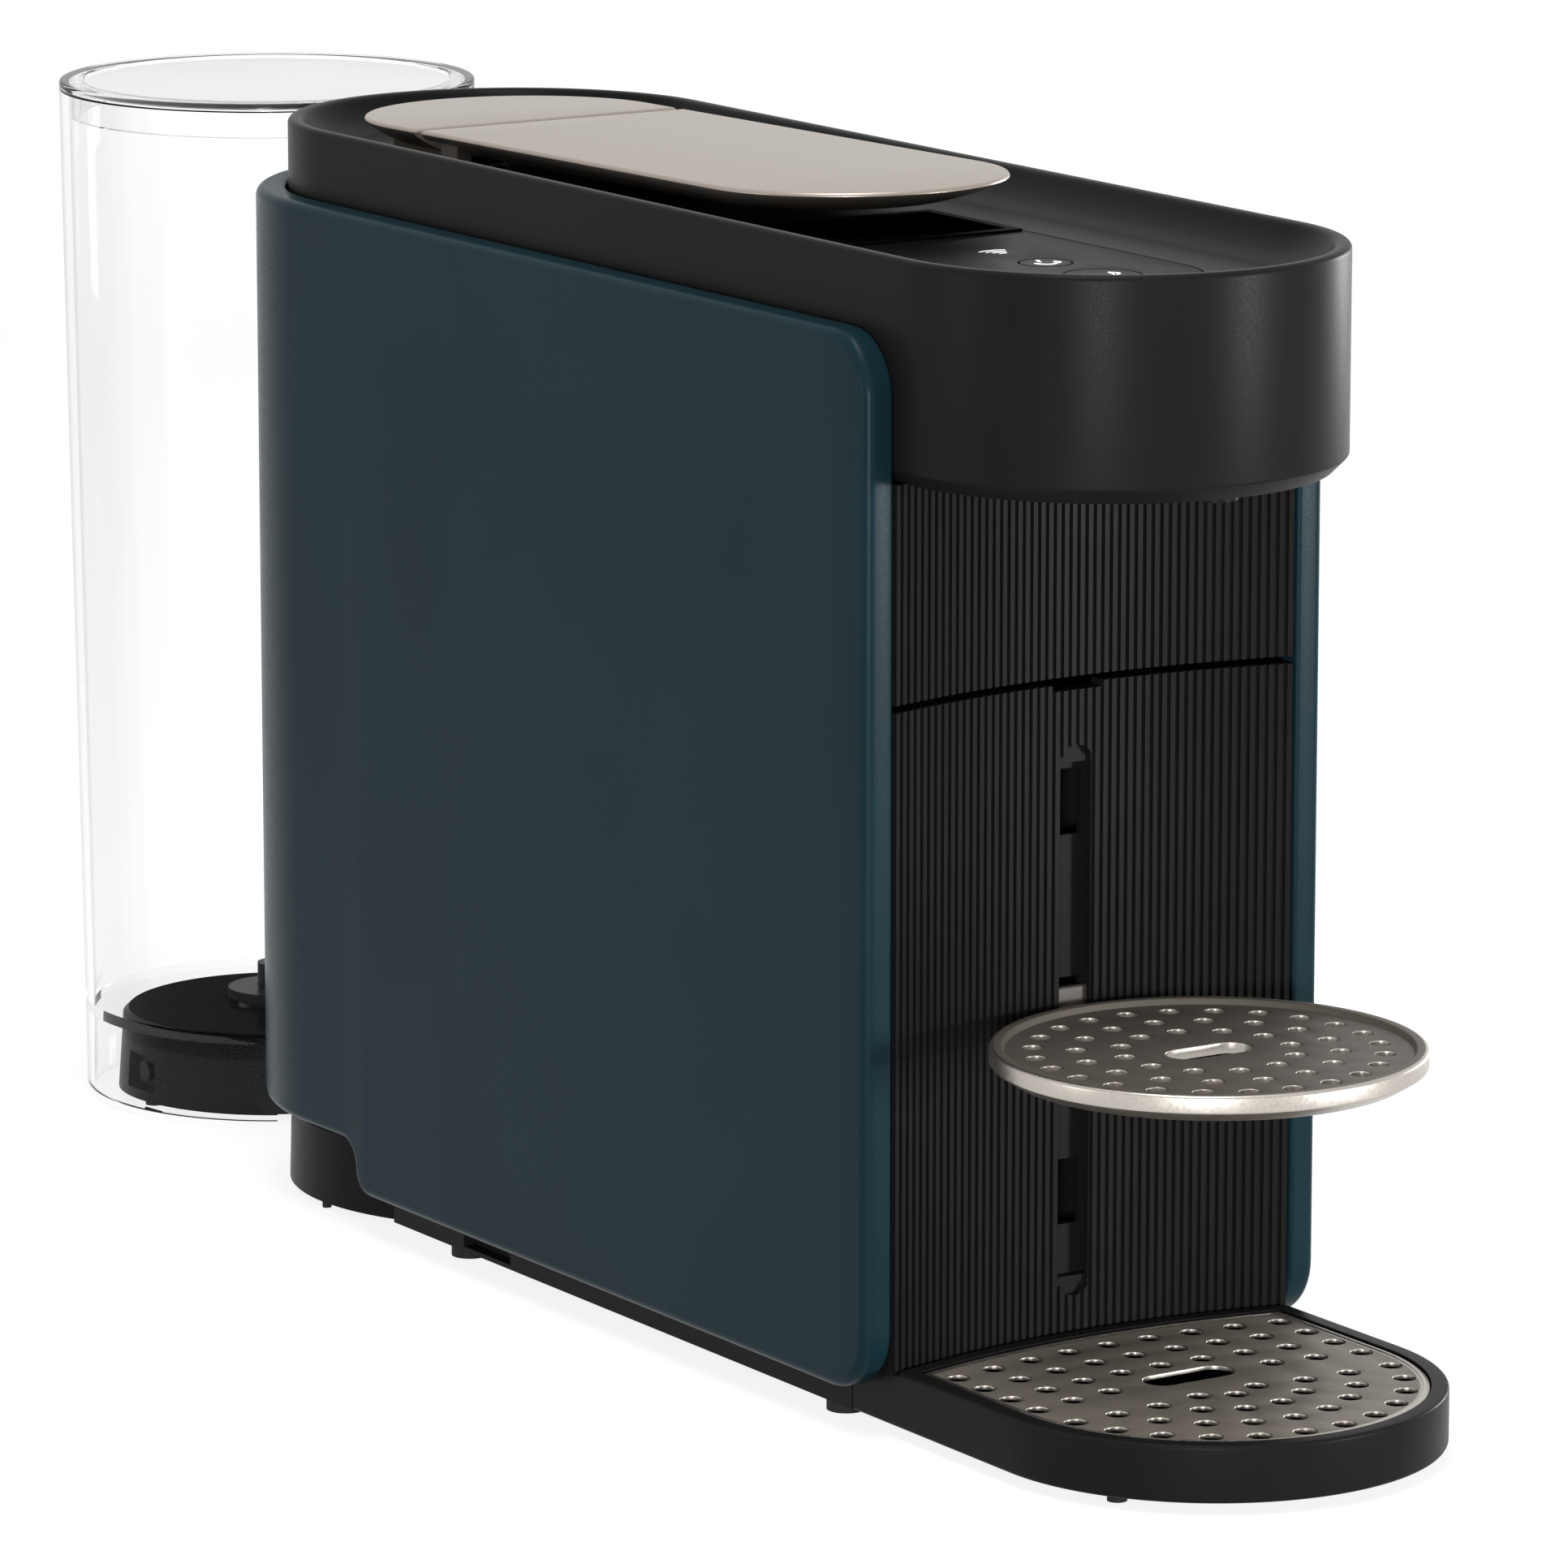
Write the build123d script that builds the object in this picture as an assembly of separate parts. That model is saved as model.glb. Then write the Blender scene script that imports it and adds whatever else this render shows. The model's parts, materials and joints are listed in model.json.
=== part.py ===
"""Slim pod coffee machine with a swivelling water tank, as separate pieces.

Millimetres. +X is the machine's right, -Y its front, +Z up. The origin is on the floor, under the
middle of the machine with its tank at the back.
"""
from build123d import *
from math import atan2, cos, degrees, pi, radians, sin, sqrt, tan
import os

# Outer shell: a U of side walls and a half-round rear wall
shell_width = 110.0
shell_wall = 6.5
shell_bottom = 8.8
shell_top = 220.9
shell_front_y = -143.3
rear_axis_y = 78.0
rear_lift = 10.9
rear_step_y = 55.65
shell_corner_radius = 13.0
shell_edge_radius = 2.2
shell_inner_edge_radius = 1.0
shell_skin = 2.8
shell_lip = 5.0

# Head: the black cap that holds the brewing unit
head_gap = 0.5
head_front_y = -145.0
head_top = 235.5
head_height = 44.5
head_wall = 3.5
head_chamfer = 3.0
rim_width = 3.0
rim_radius = 1.2
dish_depth = 7.0
dish_run = 11.0
deck_thickness = 2.5

# Control panel on the dish floor, with the capsule slot and the buttons
inlay_margin = 3.0
inlay_round_y = -141.0
inlay_thickness = 1.5
inlay_corner = 4.0
inlay_ledge = 3.0
inlay_gap = 0.2
light_y = -107.5
light_radius = 4.0
small_button_y = -124.3
small_button_radius = 5.5
large_button_y = -143.9
large_button_radius = 8.0
button_gap = 0.3
button_flange = 1.2
button_flange_height = 1.5
button_travel = 0.8
button_height = 6.5
board_thickness = 1.6
board_margin = 9.0
switch_size = 6.0
switch_height = 3.0
switch_gap = 0.1
board_post_radius = 2.0

# Lid: the fixed rear cover and the lever share one outline
lid_half = 33.0
lid_front_y = -53.5
lid_rear_y = 75.0
lid_proud = 1.1
lid_slope = 0.85
lid_thickness = 5.0
lid_edge = 0.8
lid_edge_radius = 0.5
lid_bevel = 7.0
lid_nose_bevel = 13.0
lid_skin = 2.2
lid_margin = 2.0
lever_tail = 7.4
lid_gap = 3.1
stand_reach = 12.0
well_gap = 0.6

# Lever pivot and its drive
pivot_y = 53.0
pivot_depth = 7.4
pin_radius = 2.0
pin_clearance = 0.05
crank_radius = 22.0
crank_boss = 4.0
crank_web = 5.3
lever_opening = 80.0
drive_slack = 0.8
drive_end_slack = 1.2
ear_radius = 3.3
lever_ear_thickness = 3.5
lever_plate = 1.6
side_gap = 0.8
ear_gap = 0.3

# Brewing unit, along Y at its own height
brew_headroom = 0.5
capsule_mouth_y = -55.0
capsule_radius = 15.2
capsule_depth = 24.0
capsule_flange_radius = 18.5
cage_wall = 2.3
cage_end = 4.0
mouth_gap = 0.5
carriage_plate = 8.0
carriage_bar = 3.5
carriage_bar_height = 8.0
extraction_thickness = 2.0
extraction_hole_radius = 0.8
extraction_rings = (5.0, 10.0)
extraction_ring_counts = (6, 12)
brew_plate = 3.6
brew_plate_overhang = 7.0
brew_plate_headroom = 2.0
nozzle_radius = 5.0
nozzle_bore = 2.5
nozzle_reach = 41.0
chute_wall = 1.0
chute_flange = 2.3
chute_lip = 0.5
chute_headroom = 0.1
chute_gap = 0.15

# Coffee trough and outlet
outlet_inset = 11.0
outlet_drop = 1.4
outlet_radius = 4.5
trough_half = 8.0
trough_height = 6.0
trough_wall = 1.5
trough_behind_mouth = 41.0
outlet_plate_thickness = 3.0

# Ribbed front panels
panel_gap = 0.4
panel_sag = 6.8
panel_thickness = 4.0
panel_sink = 0.8
panel_split = 147.5
panel_split_gap = 1.5
rib_count = 50
rib_depth = 0.7
rib_share = 0.55
notch_width = 12.0
notch_depth = 1.3

# Track for the cup support, in the lower panel
track_width = 7.4
track_bottom = 20.8
track_top = 133.5
track_lip = 1.7
track_slot_width = 11.0
track_slot_depth = 2.4
track_back = 1.4
window_height = 13.5
window_middles = (41.5, 78.85, 121.35)

# Cup support
cup_radius = 43.0
cup_above_window = 2.65
cup_wall = 3.5
cup_bevel = 2.2
cup_bevel_run = 3.5
cup_rim = 2.4
cup_edge_radius = 0.8
cup_recess = 1.2
cup_recess_run = 0.6
cup_floor = 1.2
cup_skirt = 4.6
cup_hole_radius = 2.1
cup_rings = (34.5, 25.9, 17.3)
cup_ring_counts = (24, 16, 12)
cup_slot_length = 19.0
cup_slot_width = 8.5
track_clearance = 0.2
shoe_height = 18.0
shoe_drop = 15.5
neck_height = 5.0

# Drip base, drip grid and capsule bin
base_gap = 1.0
drip_y = -182.5
drip_bottom = 2.2
drip_top = 13.8
drip_rear_y = -128.0
drip_rim = 2.0
drip_step = 1.5
drip_edge_radius = 0.75
drip_ledge = 3.0
drip_floor = 2.0
grid_gap = 0.4
grid_setback = 3.0
grid_thickness = 1.5
grid_below_rim = 0.5
grid_hole_radius = 2.3
grid_pitch_x = 9.8
grid_pitch_y = 9.2
grid_first_row = 12.1
grid_rows = 3
grid_columns = 9
grid_arc_counts = (3, 6, 9, 12)
grid_slot_length = 20.5
grid_slot_width = 8.0
tongue_gap = 0.5
bin_wall = 1.8
bin_corner = 7.2
bin_gap = 5.5
bin_panel_gap = 7.0
bin_rear_gap = 3.0
bin_headroom = 3.0

# Chassis, bulkhead and shelf
chassis_gap = 0.3
chassis_front_gap = 0.5
chassis_rear_gap = 3.45
rail_width = 3.0
rail_height = 10.0
rail_front_gap = 4.5
slot_vent_length = 19.0
slot_vent_height = 2.5
slot_vent_depth = 3.0
slot_vent_lift = 1.0
slot_vent_y = 12.5
rear_deck_gap = 1.0
rear_deck_thickness = 3.5
bulkhead_y = -46.0
bulkhead_thickness = 3.0
shelf_thickness = 3.0

# Swivel drum, arm and tank seat
drum_inset = 5.0
drum_bottom = 1.5
drum_gap = 0.7
drum_wall = 3.0
drum_edge = 1.5
drum_draft = 0.5
drum_clearance = 4.6
hub_radius = 12.0
hub_bore = 5.0
hub_clearance = 0.05
hub_boss = 5.0
retainer_radius = 16.0
retainer_thickness = 2.0
retainer_gap = 0.3
arm_half = 15.0

# Water tank
tank_gap = 3.6
tank_top_radius = 46.7
tank_foot_radius = 43.7
tank_wall = 2.2
tank_foot = 1.5
tank_rim = 230.5
tank_floor = 2.5
tank_notch_gap = 7.0
seat_radius = 36.3
seat_top_radius = 35.2
seat_cover_height = 5.0
seat_edge = 1.2
socket_radius = 7.0
socket_wall = 1.5
socket_height = 1.0
valve_radius = 9.0
valve_flange = 2.2
valve_stem_radius = 4.5
valve_height = 9.0
valve_gap = 0.3
latch_width = 12.0
latch_height = 8.0
latch_depth = 3.0
latch_boss_radius = 2.2
tank_lid_plate = 2.0
tank_lid_edge = 0.65
tank_lid_dish = 0.8
tank_lid_margin = 5.5
plug_gap = 0.6
plug_height = 6.0
plug_wall = 1.8

# Feet, screws and the mains gland
foot_radius = 4.0
foot_inset = 4.0
foot_rear_y = 26.0
foot_front_gap = 8.5
drip_foot_radius = 2.0
drip_foot_inset = 11.5
drip_foot_y = -203.0
drum_foot_radius = 1.0
drum_foot_inset = 1.5
seat_foot_radius = 2.0
seat_foot_inset = 4.0
screw_radius = 1.5
screw_head_radius = 3.0
screw_head_height = 2.0
screw_slot = 0.8
screw_length = 5.5
screw_inset = 17.5
screw_ys = (-110.0, 17.0)
gland_y = 5.0
gland_width = 10.0
gland_height = 5.2
gland_length = 12.0
gland_flange = 1.0
lead_width = 6.2
lead_height = 3.6
lead_run = 12.0

# Water circuit inside the rear bay
thermoblock_half = 28.0
thermoblock_length = 56.0
thermoblock_height = 65.0
thermoblock_gap = 6.0
thermoblock_fin = 3.0
thermoblock_inlet = 18.7
brew_hose_inset = 6.0
pump_x = -21.0
pump_behind_axis = 6.0
pump_radius = 16.0
pump_mount_height = 10.5
pump_mount_bore = 8.0
pump_length = 78.0
pump_coil = 34.0
pump_coil_height = 42.0
pump_neck = 12.0
pump_port_height = 6.0
pump_port_length = 6.0
meter_x = 22.0
meter_behind_axis = 14.0
meter_radius = 14.0
meter_height = 14.0
meter_port = 9.0
hose_radius = 3.0
hose_bore = 1.7
hose_bend = 9.0
hose_arch = 24.0
port_wall = 1.0
power_board_inset = 8.5
power_board_length = 84.0
power_board_bottom = 40.0
power_board_height = 80.0
component_count = 3
component_depth = 6.4

# Sizes that follow from the ones above
shell_half = shell_width / 2
shell_inner = shell_half - shell_wall
head_half = shell_inner - head_gap
head_bottom = head_top - head_height
head_inner = head_half - head_wall
dish_floor = head_top - dish_depth
deck_bottom = dish_floor - deck_thickness
panel_half = shell_inner - panel_gap
panel_radius = (panel_half**2 + panel_sag**2) / (2 * panel_sag)
panel_middle_y = shell_front_y + panel_sag
panel_back_y = panel_middle_y + panel_thickness
panel_bottom = drip_top - panel_sink
panel_top = panel_split - panel_split_gap
rib_pitch = 2 * panel_half / rib_count
base_half = shell_inner - base_gap
chassis_top = shell_bottom - chassis_gap
chassis_front_y = drip_rear_y + chassis_front_gap
chassis_rear_y = rear_step_y - chassis_rear_gap
rail_top = chassis_top + rail_height
wall_rear_y = bulkhead_y + bulkhead_thickness
tongue_top = panel_bottom
tongue_bottom = chassis_top + tongue_gap
bin_half = shell_inner - bin_gap
bin_top = panel_top - bin_headroom
bin_rear_y = bulkhead_y - bin_rear_gap
track_lip_y = panel_middle_y + track_lip
track_slot_y = track_lip_y + track_slot_depth
track_back_y = track_slot_y + track_back
bin_front_y = track_back_y + bin_panel_gap
cup_top = window_middles[1] + cup_above_window
outlet_y = head_front_y - head_half + outlet_inset
cup_y = outlet_y
grid_first_y = panel_middle_y - grid_first_row
lid_top = head_top + lid_proud
lever_rear_y = pivot_y + lever_tail
rear_cover_y = lever_rear_y + lid_gap
pivot_z = lid_top - pivot_depth
crank_half_angle = lever_opening / 2
crank_reach = crank_radius * sin(radians(crank_half_angle))
carriage_stroke = 2 * crank_reach
drive_y = pivot_y + crank_reach
drive_z = pivot_z - crank_radius * cos(radians(crank_half_angle))
brew_z = deck_bottom - capsule_flange_radius - brew_headroom
brew_plate_top = deck_bottom - brew_plate_headroom
brew_plate_front_y = capsule_mouth_y - brew_plate_overhang
cage_radius = capsule_radius + cage_wall
cage_rear_y = capsule_mouth_y + capsule_depth + cage_end
cage_port_y = cage_rear_y + cage_end
carriage_y = capsule_mouth_y - mouth_gap
chute_front_y = carriage_y - carriage_stroke
inlay_half = capsule_flange_radius + inlay_margin
inlay_rear_y = capsule_mouth_y + inlay_margin
inlay_under = dish_floor - inlay_thickness
board_top = dish_floor - button_height - button_travel - switch_gap - switch_height
board_post_x = inlay_half - inlay_ledge + side_gap + board_post_radius
board_half = board_post_x + board_post_radius
board_front_y = large_button_y - board_margin
board_rear_y = light_y + board_margin
trough_rear_y = capsule_mouth_y - trough_behind_mouth
outlet_plate_top = head_bottom + outlet_plate_thickness
bar_inner = cage_radius + side_gap
bar_outer = bar_inner + carriage_bar
plate_inner = bar_outer + side_gap
plate_outer = plate_inner + brew_plate
crank_outer = bar_inner - side_gap
crank_inner = crank_outer - lever_ear_thickness
ear_inner = plate_outer + side_gap
ear_outer = ear_inner + lever_ear_thickness
shelf_top = head_bottom + shelf_thickness
drum_radius = shell_half - drum_inset
drum_top = shell_bottom + rear_lift - drum_gap
drum_room = drum_radius + drum_clearance
rear_deck_bottom = drum_top + rear_deck_gap
rear_deck_top = rear_deck_bottom + rear_deck_thickness
hub_top = rear_deck_top + hub_boss
seat_cover_low = drum_top - seat_cover_height
tank_y = rear_axis_y + shell_half + tank_gap + tank_top_radius
tank_notch_half = arm_half + tank_notch_gap
tank_floor_top = drum_top + tank_floor
tank_lid_top = tank_rim + tank_lid_plate
tank_taper = (tank_top_radius - tank_foot_radius) / (tank_lid_top - tank_foot)
thermoblock_top = head_bottom - thermoblock_gap
thermoblock_bottom = thermoblock_top - thermoblock_height
thermoblock_rear_y = wall_rear_y + thermoblock_length
brew_hose_y = thermoblock_rear_y - brew_hose_inset
port_radius = hose_radius + port_wall
pump_bottom = rear_deck_top + pump_mount_height
pump_y = rear_axis_y + pump_behind_axis
pump_top = pump_bottom + pump_length
meter_y = rear_axis_y + meter_behind_axis
meter_top = rear_deck_top + meter_height
power_board_x = shell_inner - power_board_inset
foot_front_y = drip_rear_y + foot_front_gap
screw_x = base_half - screw_inset
screw_places = [(side * screw_x, y) for side in (-1, 1) for y in screw_ys]

# How near an edge must lie to a face to belong to it, and how steep an upright edge is
touch = 0.01
upright = 0.9


def stadium(half_width, front_y, rear_y):
    """Outline with straight sides along Y and a half circle about each of two centres."""
    outline = SlotCenterToCenter(rear_y - front_y, 2 * half_width, rotation=90)
    return Pos(0, (front_y + rear_y) / 2) * outline


def slab(face, low, high):
    """A flat outline raised from one height to another."""
    return extrude(Pos(0, 0, low) * face, amount=high - low)


def block(x, y, z):
    """A box from its three (low, high) spans."""
    spans = (x, y, z)
    middle = [(low + high) / 2 for low, high in spans]
    return Pos(*middle) * Box(*[high - low for low, high in spans])


def post(x, y, radius, low, high):
    """A round bar along Z."""
    return Pos(x, y, (low + high) / 2) * Cylinder(radius, high - low)


def rod_x(y, z, radius, low, high):
    """A round bar along X."""
    return Pos((low + high) / 2, y, z) * Rot(0, 90, 0) * Cylinder(radius, high - low)


def rod_y(x, z, radius, low, high):
    """A round bar along Y."""
    return Pos(x, (low + high) / 2, z) * Rot(90, 0, 0) * Cylinder(radius, high - low)


def side_profile(face, low, high):
    """An outline drawn in (Y, Z), raised along X from low to high."""
    return extrude(Plane.YZ.offset(low) * face, amount=high - low)


def both_sides(shape):
    """The shape and its mirror image across X = 0."""
    return shape + mirror(shape, Plane.YZ)


def cone_wall(y, low_radius, high_radius, low, high):
    """A solid of revolution about an upright axis that tapers from one radius to another."""
    return Pos(0, y, (low + high) / 2) * Cone(low_radius, high_radius, high - low)


def hose(points):
    """A hose with its bore, along straight runs joined by bends."""
    path = FilletPolyline(*points, radius=hose_bend)
    start = Plane(path @ 0, z_dir=path % 0)
    ring = Circle(hose_radius) - Circle(hose_bore)
    return sweep(start * ring, path=path)


def panel_arc_y(x, depth):
    """Y of the concave panel front at x, moved back by depth."""
    return panel_middle_y + depth - (panel_radius - sqrt(panel_radius**2 - x**2))


def make_shell():
    """Side walls and rear wall in one piece, with the raised rear edge that the tank arm passes under."""
    def u_shape(half):
        length = rear_axis_y - shell_front_y
        straight = Pos(0, shell_front_y + length / 2) * Rectangle(2 * half, length)
        return straight + Pos(0, rear_axis_y) * Circle(half)

    shell = slab(u_shape(shell_half), shell_bottom, shell_top)
    front_corners = shell.edges().filter_by(Axis.X).group_by(Axis.Y)[0]
    shell = fillet(front_corners, shell_corner_radius)
    turn = rear_lift / 2
    far = rear_axis_y + shell_width
    low = shell_bottom - shell_wall
    raised = shell_bottom + rear_lift
    notch = make_face([
        CenterArc((rear_step_y - turn, shell_bottom + turn), turn, -90, 90),
        CenterArc((rear_step_y + turn, shell_bottom + turn), turn, 180, -90),
        Polyline((rear_step_y + turn, raised), (far, raised), (far, low), (rear_step_y - turn, low),
                 (rear_step_y - turn, shell_bottom)),
    ])
    shell -= side_profile(notch, -shell_width, shell_width)

    def is_outer_rim(edge):
        middle = edge.position_at(0.5)
        on_side = abs(abs(middle.X) - shell_half) < touch
        on_rear = abs(sqrt(middle.X**2 + (middle.Y - rear_axis_y)**2) - shell_half) < touch
        seam = abs(middle.Y - rear_axis_y) < touch and abs((edge % 0.5).Z) > upright
        return (on_side or on_rear) and not seam

    shell = fillet([edge for edge in shell.edges() if is_outer_rim(edge)], shell_edge_radius)
    ahead = 2 * shell_front_y
    bay = slab(u_shape(shell_inner), 0, 2 * shell_top)
    bay += block((-shell_inner, shell_inner), (ahead, 0), (0, 2 * shell_top))
    shell -= bay
    hollow = slab(u_shape(shell_half - shell_skin), raised + shell_lip, shell_top - shell_lip)
    hollow -= block((-shell_width, shell_width), (ahead, shell_front_y + shell_lip), (0, 2 * shell_top))
    shell -= hollow

    def is_front_inner_edge(edge):
        middle = edge.position_at(0.5)
        return abs(abs(middle.X) - shell_inner) < touch and abs(middle.Y - shell_front_y) < touch

    return fillet([edge for edge in shell.edges() if is_front_inner_edge(edge)], shell_inner_edge_radius)


def make_head():
    """Cap with a raised rim round a hollow dish, pocketed for the control panel and lever well."""
    head = slab(stadium(head_half, head_front_y, rear_axis_y), head_bottom, head_top)
    head = chamfer(head.faces().sort_by(Axis.Z)[0].edges(), head_chamfer)
    head -= dish_hollow()
    head = fillet(head.faces().sort_by(Axis.Z)[-1].edges(), rim_radius)
    head -= slab(stadium(head_inner, head_front_y, rear_axis_y), 0, deck_bottom)
    head -= slab(inlay_outline(inlay_gap), inlay_under, head_top)
    window_half = inlay_half - inlay_ledge
    window_front = large_button_y - large_button_radius - button_flange - side_gap
    window_y = (window_front, chute_front_y - chute_wall - inlay_ledge)
    head -= block((-window_half, window_half), window_y, (0, head_top))
    head -= chute_block(chute_wall + chute_gap, 0, head_top)
    well_front = pivot_y - ear_radius - crank_boss - side_gap
    well_half = lid_half + well_gap
    head -= block((-well_half, well_half), (well_front, rear_cover_y), (0, head_top))
    post_ys = (board_front_y + board_post_radius, board_rear_y - board_post_radius)
    for y in post_ys:
        head += both_sides(post(board_post_x, y, board_post_radius, board_top, deck_bottom))
    return head


def dish_hollow():
    """What is taken out of the head's top: a stadium whose sides curve up from the floor to the rim."""
    rim = head_half - rim_width
    floor_end = (rim - dish_run, dish_floor)
    half = make_face([
        Line((0, dish_floor), floor_end),
        TangentArc(floor_end, (rim, head_top), tangent=(1, 0)),
        Polyline((rim, head_top), (0, head_top), (0, dish_floor)),
    ])
    end = revolve(Plane.XZ * half, axis=Axis.Z)
    length = rear_axis_y - head_front_y
    middle = extrude(Plane.XZ.offset(-rear_axis_y) * (half + mirror(half, Plane.YZ)), amount=length)
    return middle + Pos(0, head_front_y) * end + Pos(0, rear_axis_y) * end


def inlay_outline(margin):
    """The control panel's outline, larger by margin: half-round front, rounded rear corners."""
    half = inlay_half + margin
    corner = inlay_corner + margin
    rear = inlay_rear_y + margin
    straight = RectangleRounded(2 * half, rear - inlay_round_y, corner)
    outline = Pos(0, (rear + inlay_round_y) / 2) * straight
    return outline + stadium(half, inlay_round_y, inlay_round_y + corner)


def chute_block(wall, low, high):
    """The capsule slot's block, larger by a wall."""
    half = capsule_flange_radius + wall
    return block((-half, half), (chute_front_y - wall, capsule_mouth_y + wall), (low, high))


def make_controls():
    """Control panel, indicator light, two buttons and the board with their switches."""
    panel = slab(inlay_outline(0), inlay_under, dish_floor)
    panel -= chute_block(chute_wall + chute_gap, 0, head_top)
    panel -= post(0, light_y, light_radius, inlay_under, dish_floor)
    board = block((-board_half, board_half), (board_front_y, board_rear_y),
                  (board_top - board_thickness, board_top))
    buttons = {"small_button": (small_button_y, small_button_radius),
               "large_button": (large_button_y, large_button_radius)}
    pieces = {}
    half_switch = switch_size / 2
    flange_low = inlay_under - button_flange_height
    for name, (y, radius) in buttons.items():
        panel -= post(0, y, radius, inlay_under, dish_floor)
        cap = post(0, y, radius - button_gap, flange_low, dish_floor)
        cap += post(0, y, radius + button_flange, flange_low, inlay_under)
        cap += post(0, y, half_switch, dish_floor - button_height, inlay_under)
        pieces[name] = cap
        board += block((-half_switch, half_switch), (y - half_switch, y + half_switch),
                       (board_top, board_top + switch_height))
    pieces["control_panel"] = panel
    pieces["status_light"] = post(0, light_y, light_radius, board_top, dish_floor)
    pieces["button_board"] = board
    return pieces


def lid_frame():
    """Plane of the lid's top at the pivot, rising gently to the front."""
    slope = radians(lid_slope)
    return Plane(origin=(0, pivot_y, lid_top), x_dir=(1, 0, 0), z_dir=(0, sin(slope), cos(slope)))


def lid_height(y, depth):
    """Height at y of the plane that lies depth below the lid's sloping top."""
    slope = radians(lid_slope)
    return lid_top - (y - pivot_y) * tan(slope) - depth / cos(slope)


def make_lid():
    """Fixed rear cover on its stand and the hollow lever cover, cut from one bevelled stadium."""
    front, rear = lid_front_y - pivot_y, lid_rear_y - pivot_y
    frame = lid_frame()
    top = stadium(lid_half, front, rear)
    bottom_half = lid_half - lid_bevel
    bottom_front = front + lid_nose_bevel - lid_bevel
    lid = slab(top, -lid_edge, 0)
    lid = fillet(lid.faces().sort_by(Axis.Z)[-1].edges(), lid_edge_radius)
    bottom = stadium(bottom_half, bottom_front, rear)
    lid += loft([Pos(0, 0, -lid_thickness) * bottom, Pos(0, 0, -lid_edge) * top])
    hollow_half = bottom_half - lid_margin
    hollow = slab(stadium(hollow_half, bottom_front, rear), -lid_thickness, -lid_skin)
    span = (-lid_half, lid_half)
    tall = (head_bottom, 2 * head_top)
    cover = (frame * lid) & block(span, (rear_cover_y, 2 * tank_y), tall)
    lever = (frame * (lid - hollow)) & block(span, (2 * shell_front_y, lever_rear_y), tall)
    pocket_half = ear_outer + ear_gap
    pocket_y = (-ear_radius - ear_gap, lever_tail + lid_margin)
    lever -= frame * block((-pocket_half, pocket_half), pocket_y, (-2 * lid_thickness, -lid_skin))
    stand_ys = (rear_cover_y + lid_margin, lid_rear_y + stand_reach)
    under = [(y, lid_height(y, lid_thickness)) for y in reversed(stand_ys)]
    stand = make_face(Polyline(*[(y, dish_floor) for y in stand_ys], *under, close=True))
    return {"rear_cover": cover, "rear_cover_stand": side_profile(stand, -hollow_half, hollow_half),
            "lever_cover": lever}


def make_lever_parts():
    """Lever frame with its ears and crank arms, the drive pin and the fixed hinge pin."""
    def skin_strip(front, rear, half):
        """A flat strip under the lever cover's skin, from front to rear."""
        top = [(y, lid_height(y, lid_skin)) for y in (front, rear)]
        under = [(y, lid_height(y, lid_skin + lever_plate)) for y in (rear, front)]
        return side_profile(make_face(Polyline(*top, *under, close=True)), -half, half)

    def ear(low, high):
        """A flat lug round the pin, up to the cover's skin."""
        lug = rod_x(pivot_y, pivot_z, ear_radius, low, high)
        lug_y = (pivot_y - ear_radius, pivot_y + ear_radius)
        return lug + block((low, high), lug_y, (pivot_z, lid_height(lug_y[1], lid_skin)))

    frame = skin_strip(lid_front_y, lever_rear_y - lid_margin, plate_inner - side_gap)
    frame += skin_strip(pivot_y - ear_radius, pivot_y + ear_radius, ear_outer)
    frame += both_sides(ear(ear_inner, ear_outer))
    crank = ear(crank_inner, crank_outer)
    crank += rod_x(drive_y, drive_z, crank_boss, crank_inner, crank_outer)
    angle = degrees(atan2(drive_z - pivot_z, drive_y - pivot_y))
    web = block((0, lever_ear_thickness), (0, crank_radius), (-crank_web / 2, crank_web / 2))
    crank += Pos(crank_inner, pivot_y, pivot_z) * Rot(angle, 0, 0) * web
    frame += both_sides(crank)
    frame -= rod_x(pivot_y, pivot_z, pin_radius + pin_clearance, -lid_half, lid_half)
    frame -= rod_x(drive_y, drive_z, pin_radius, -lid_half, lid_half)
    return {"lever_frame": frame,
            "drive_pin": rod_x(drive_y, drive_z, pin_radius, -bar_outer, bar_outer),
            "hinge_pin": rod_x(pivot_y, pivot_z, pin_radius, -ear_outer, ear_outer)}


def make_brew_unit():
    """Side plates, fixed injection cage and the capsule chute."""
    plate_rear = pivot_y + ear_radius
    upright_front = pivot_y - ear_radius
    outline = make_face(Polyline(
        (brew_plate_front_y, shelf_top), (plate_rear, shelf_top), (plate_rear, pivot_z),
        (upright_front, pivot_z), (upright_front, brew_plate_top), (brew_plate_front_y, brew_plate_top),
        close=True))
    plate = side_profile(outline, plate_inner, plate_outer)
    plate += rod_x(pivot_y, pivot_z, ear_radius, plate_inner, plate_outer)
    plate -= rod_x(pivot_y, pivot_z, pin_radius, plate_inner, plate_outer)
    mouth = capsule_mouth_y
    lug_top = drive_z - carriage_bar_height - side_gap
    lug = block((0, plate_inner), (mouth + cage_end, cage_rear_y), (shelf_top, lug_top))
    cage = rod_y(0, brew_z, cage_radius, mouth, cage_rear_y) + both_sides(lug)
    cage += rod_y(0, brew_z, port_radius, cage_rear_y, cage_port_y)
    cage -= rod_y(0, brew_z, capsule_radius, mouth, mouth + capsule_depth)
    cage -= rod_y(0, brew_z, hose_bore, mouth, cage_port_y)
    chute = chute_block(chute_wall, deck_bottom + chute_headroom, dish_floor)
    chute += chute_block(chute_flange, dish_floor, dish_floor + chute_lip)
    chute -= chute_block(0, 0, 2 * head_top)
    return {"brew_plate_right": plate, "brew_plate_left": mirror(plate, Plane.YZ), "injection_cage": cage,
            "capsule_chute": chute}


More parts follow.
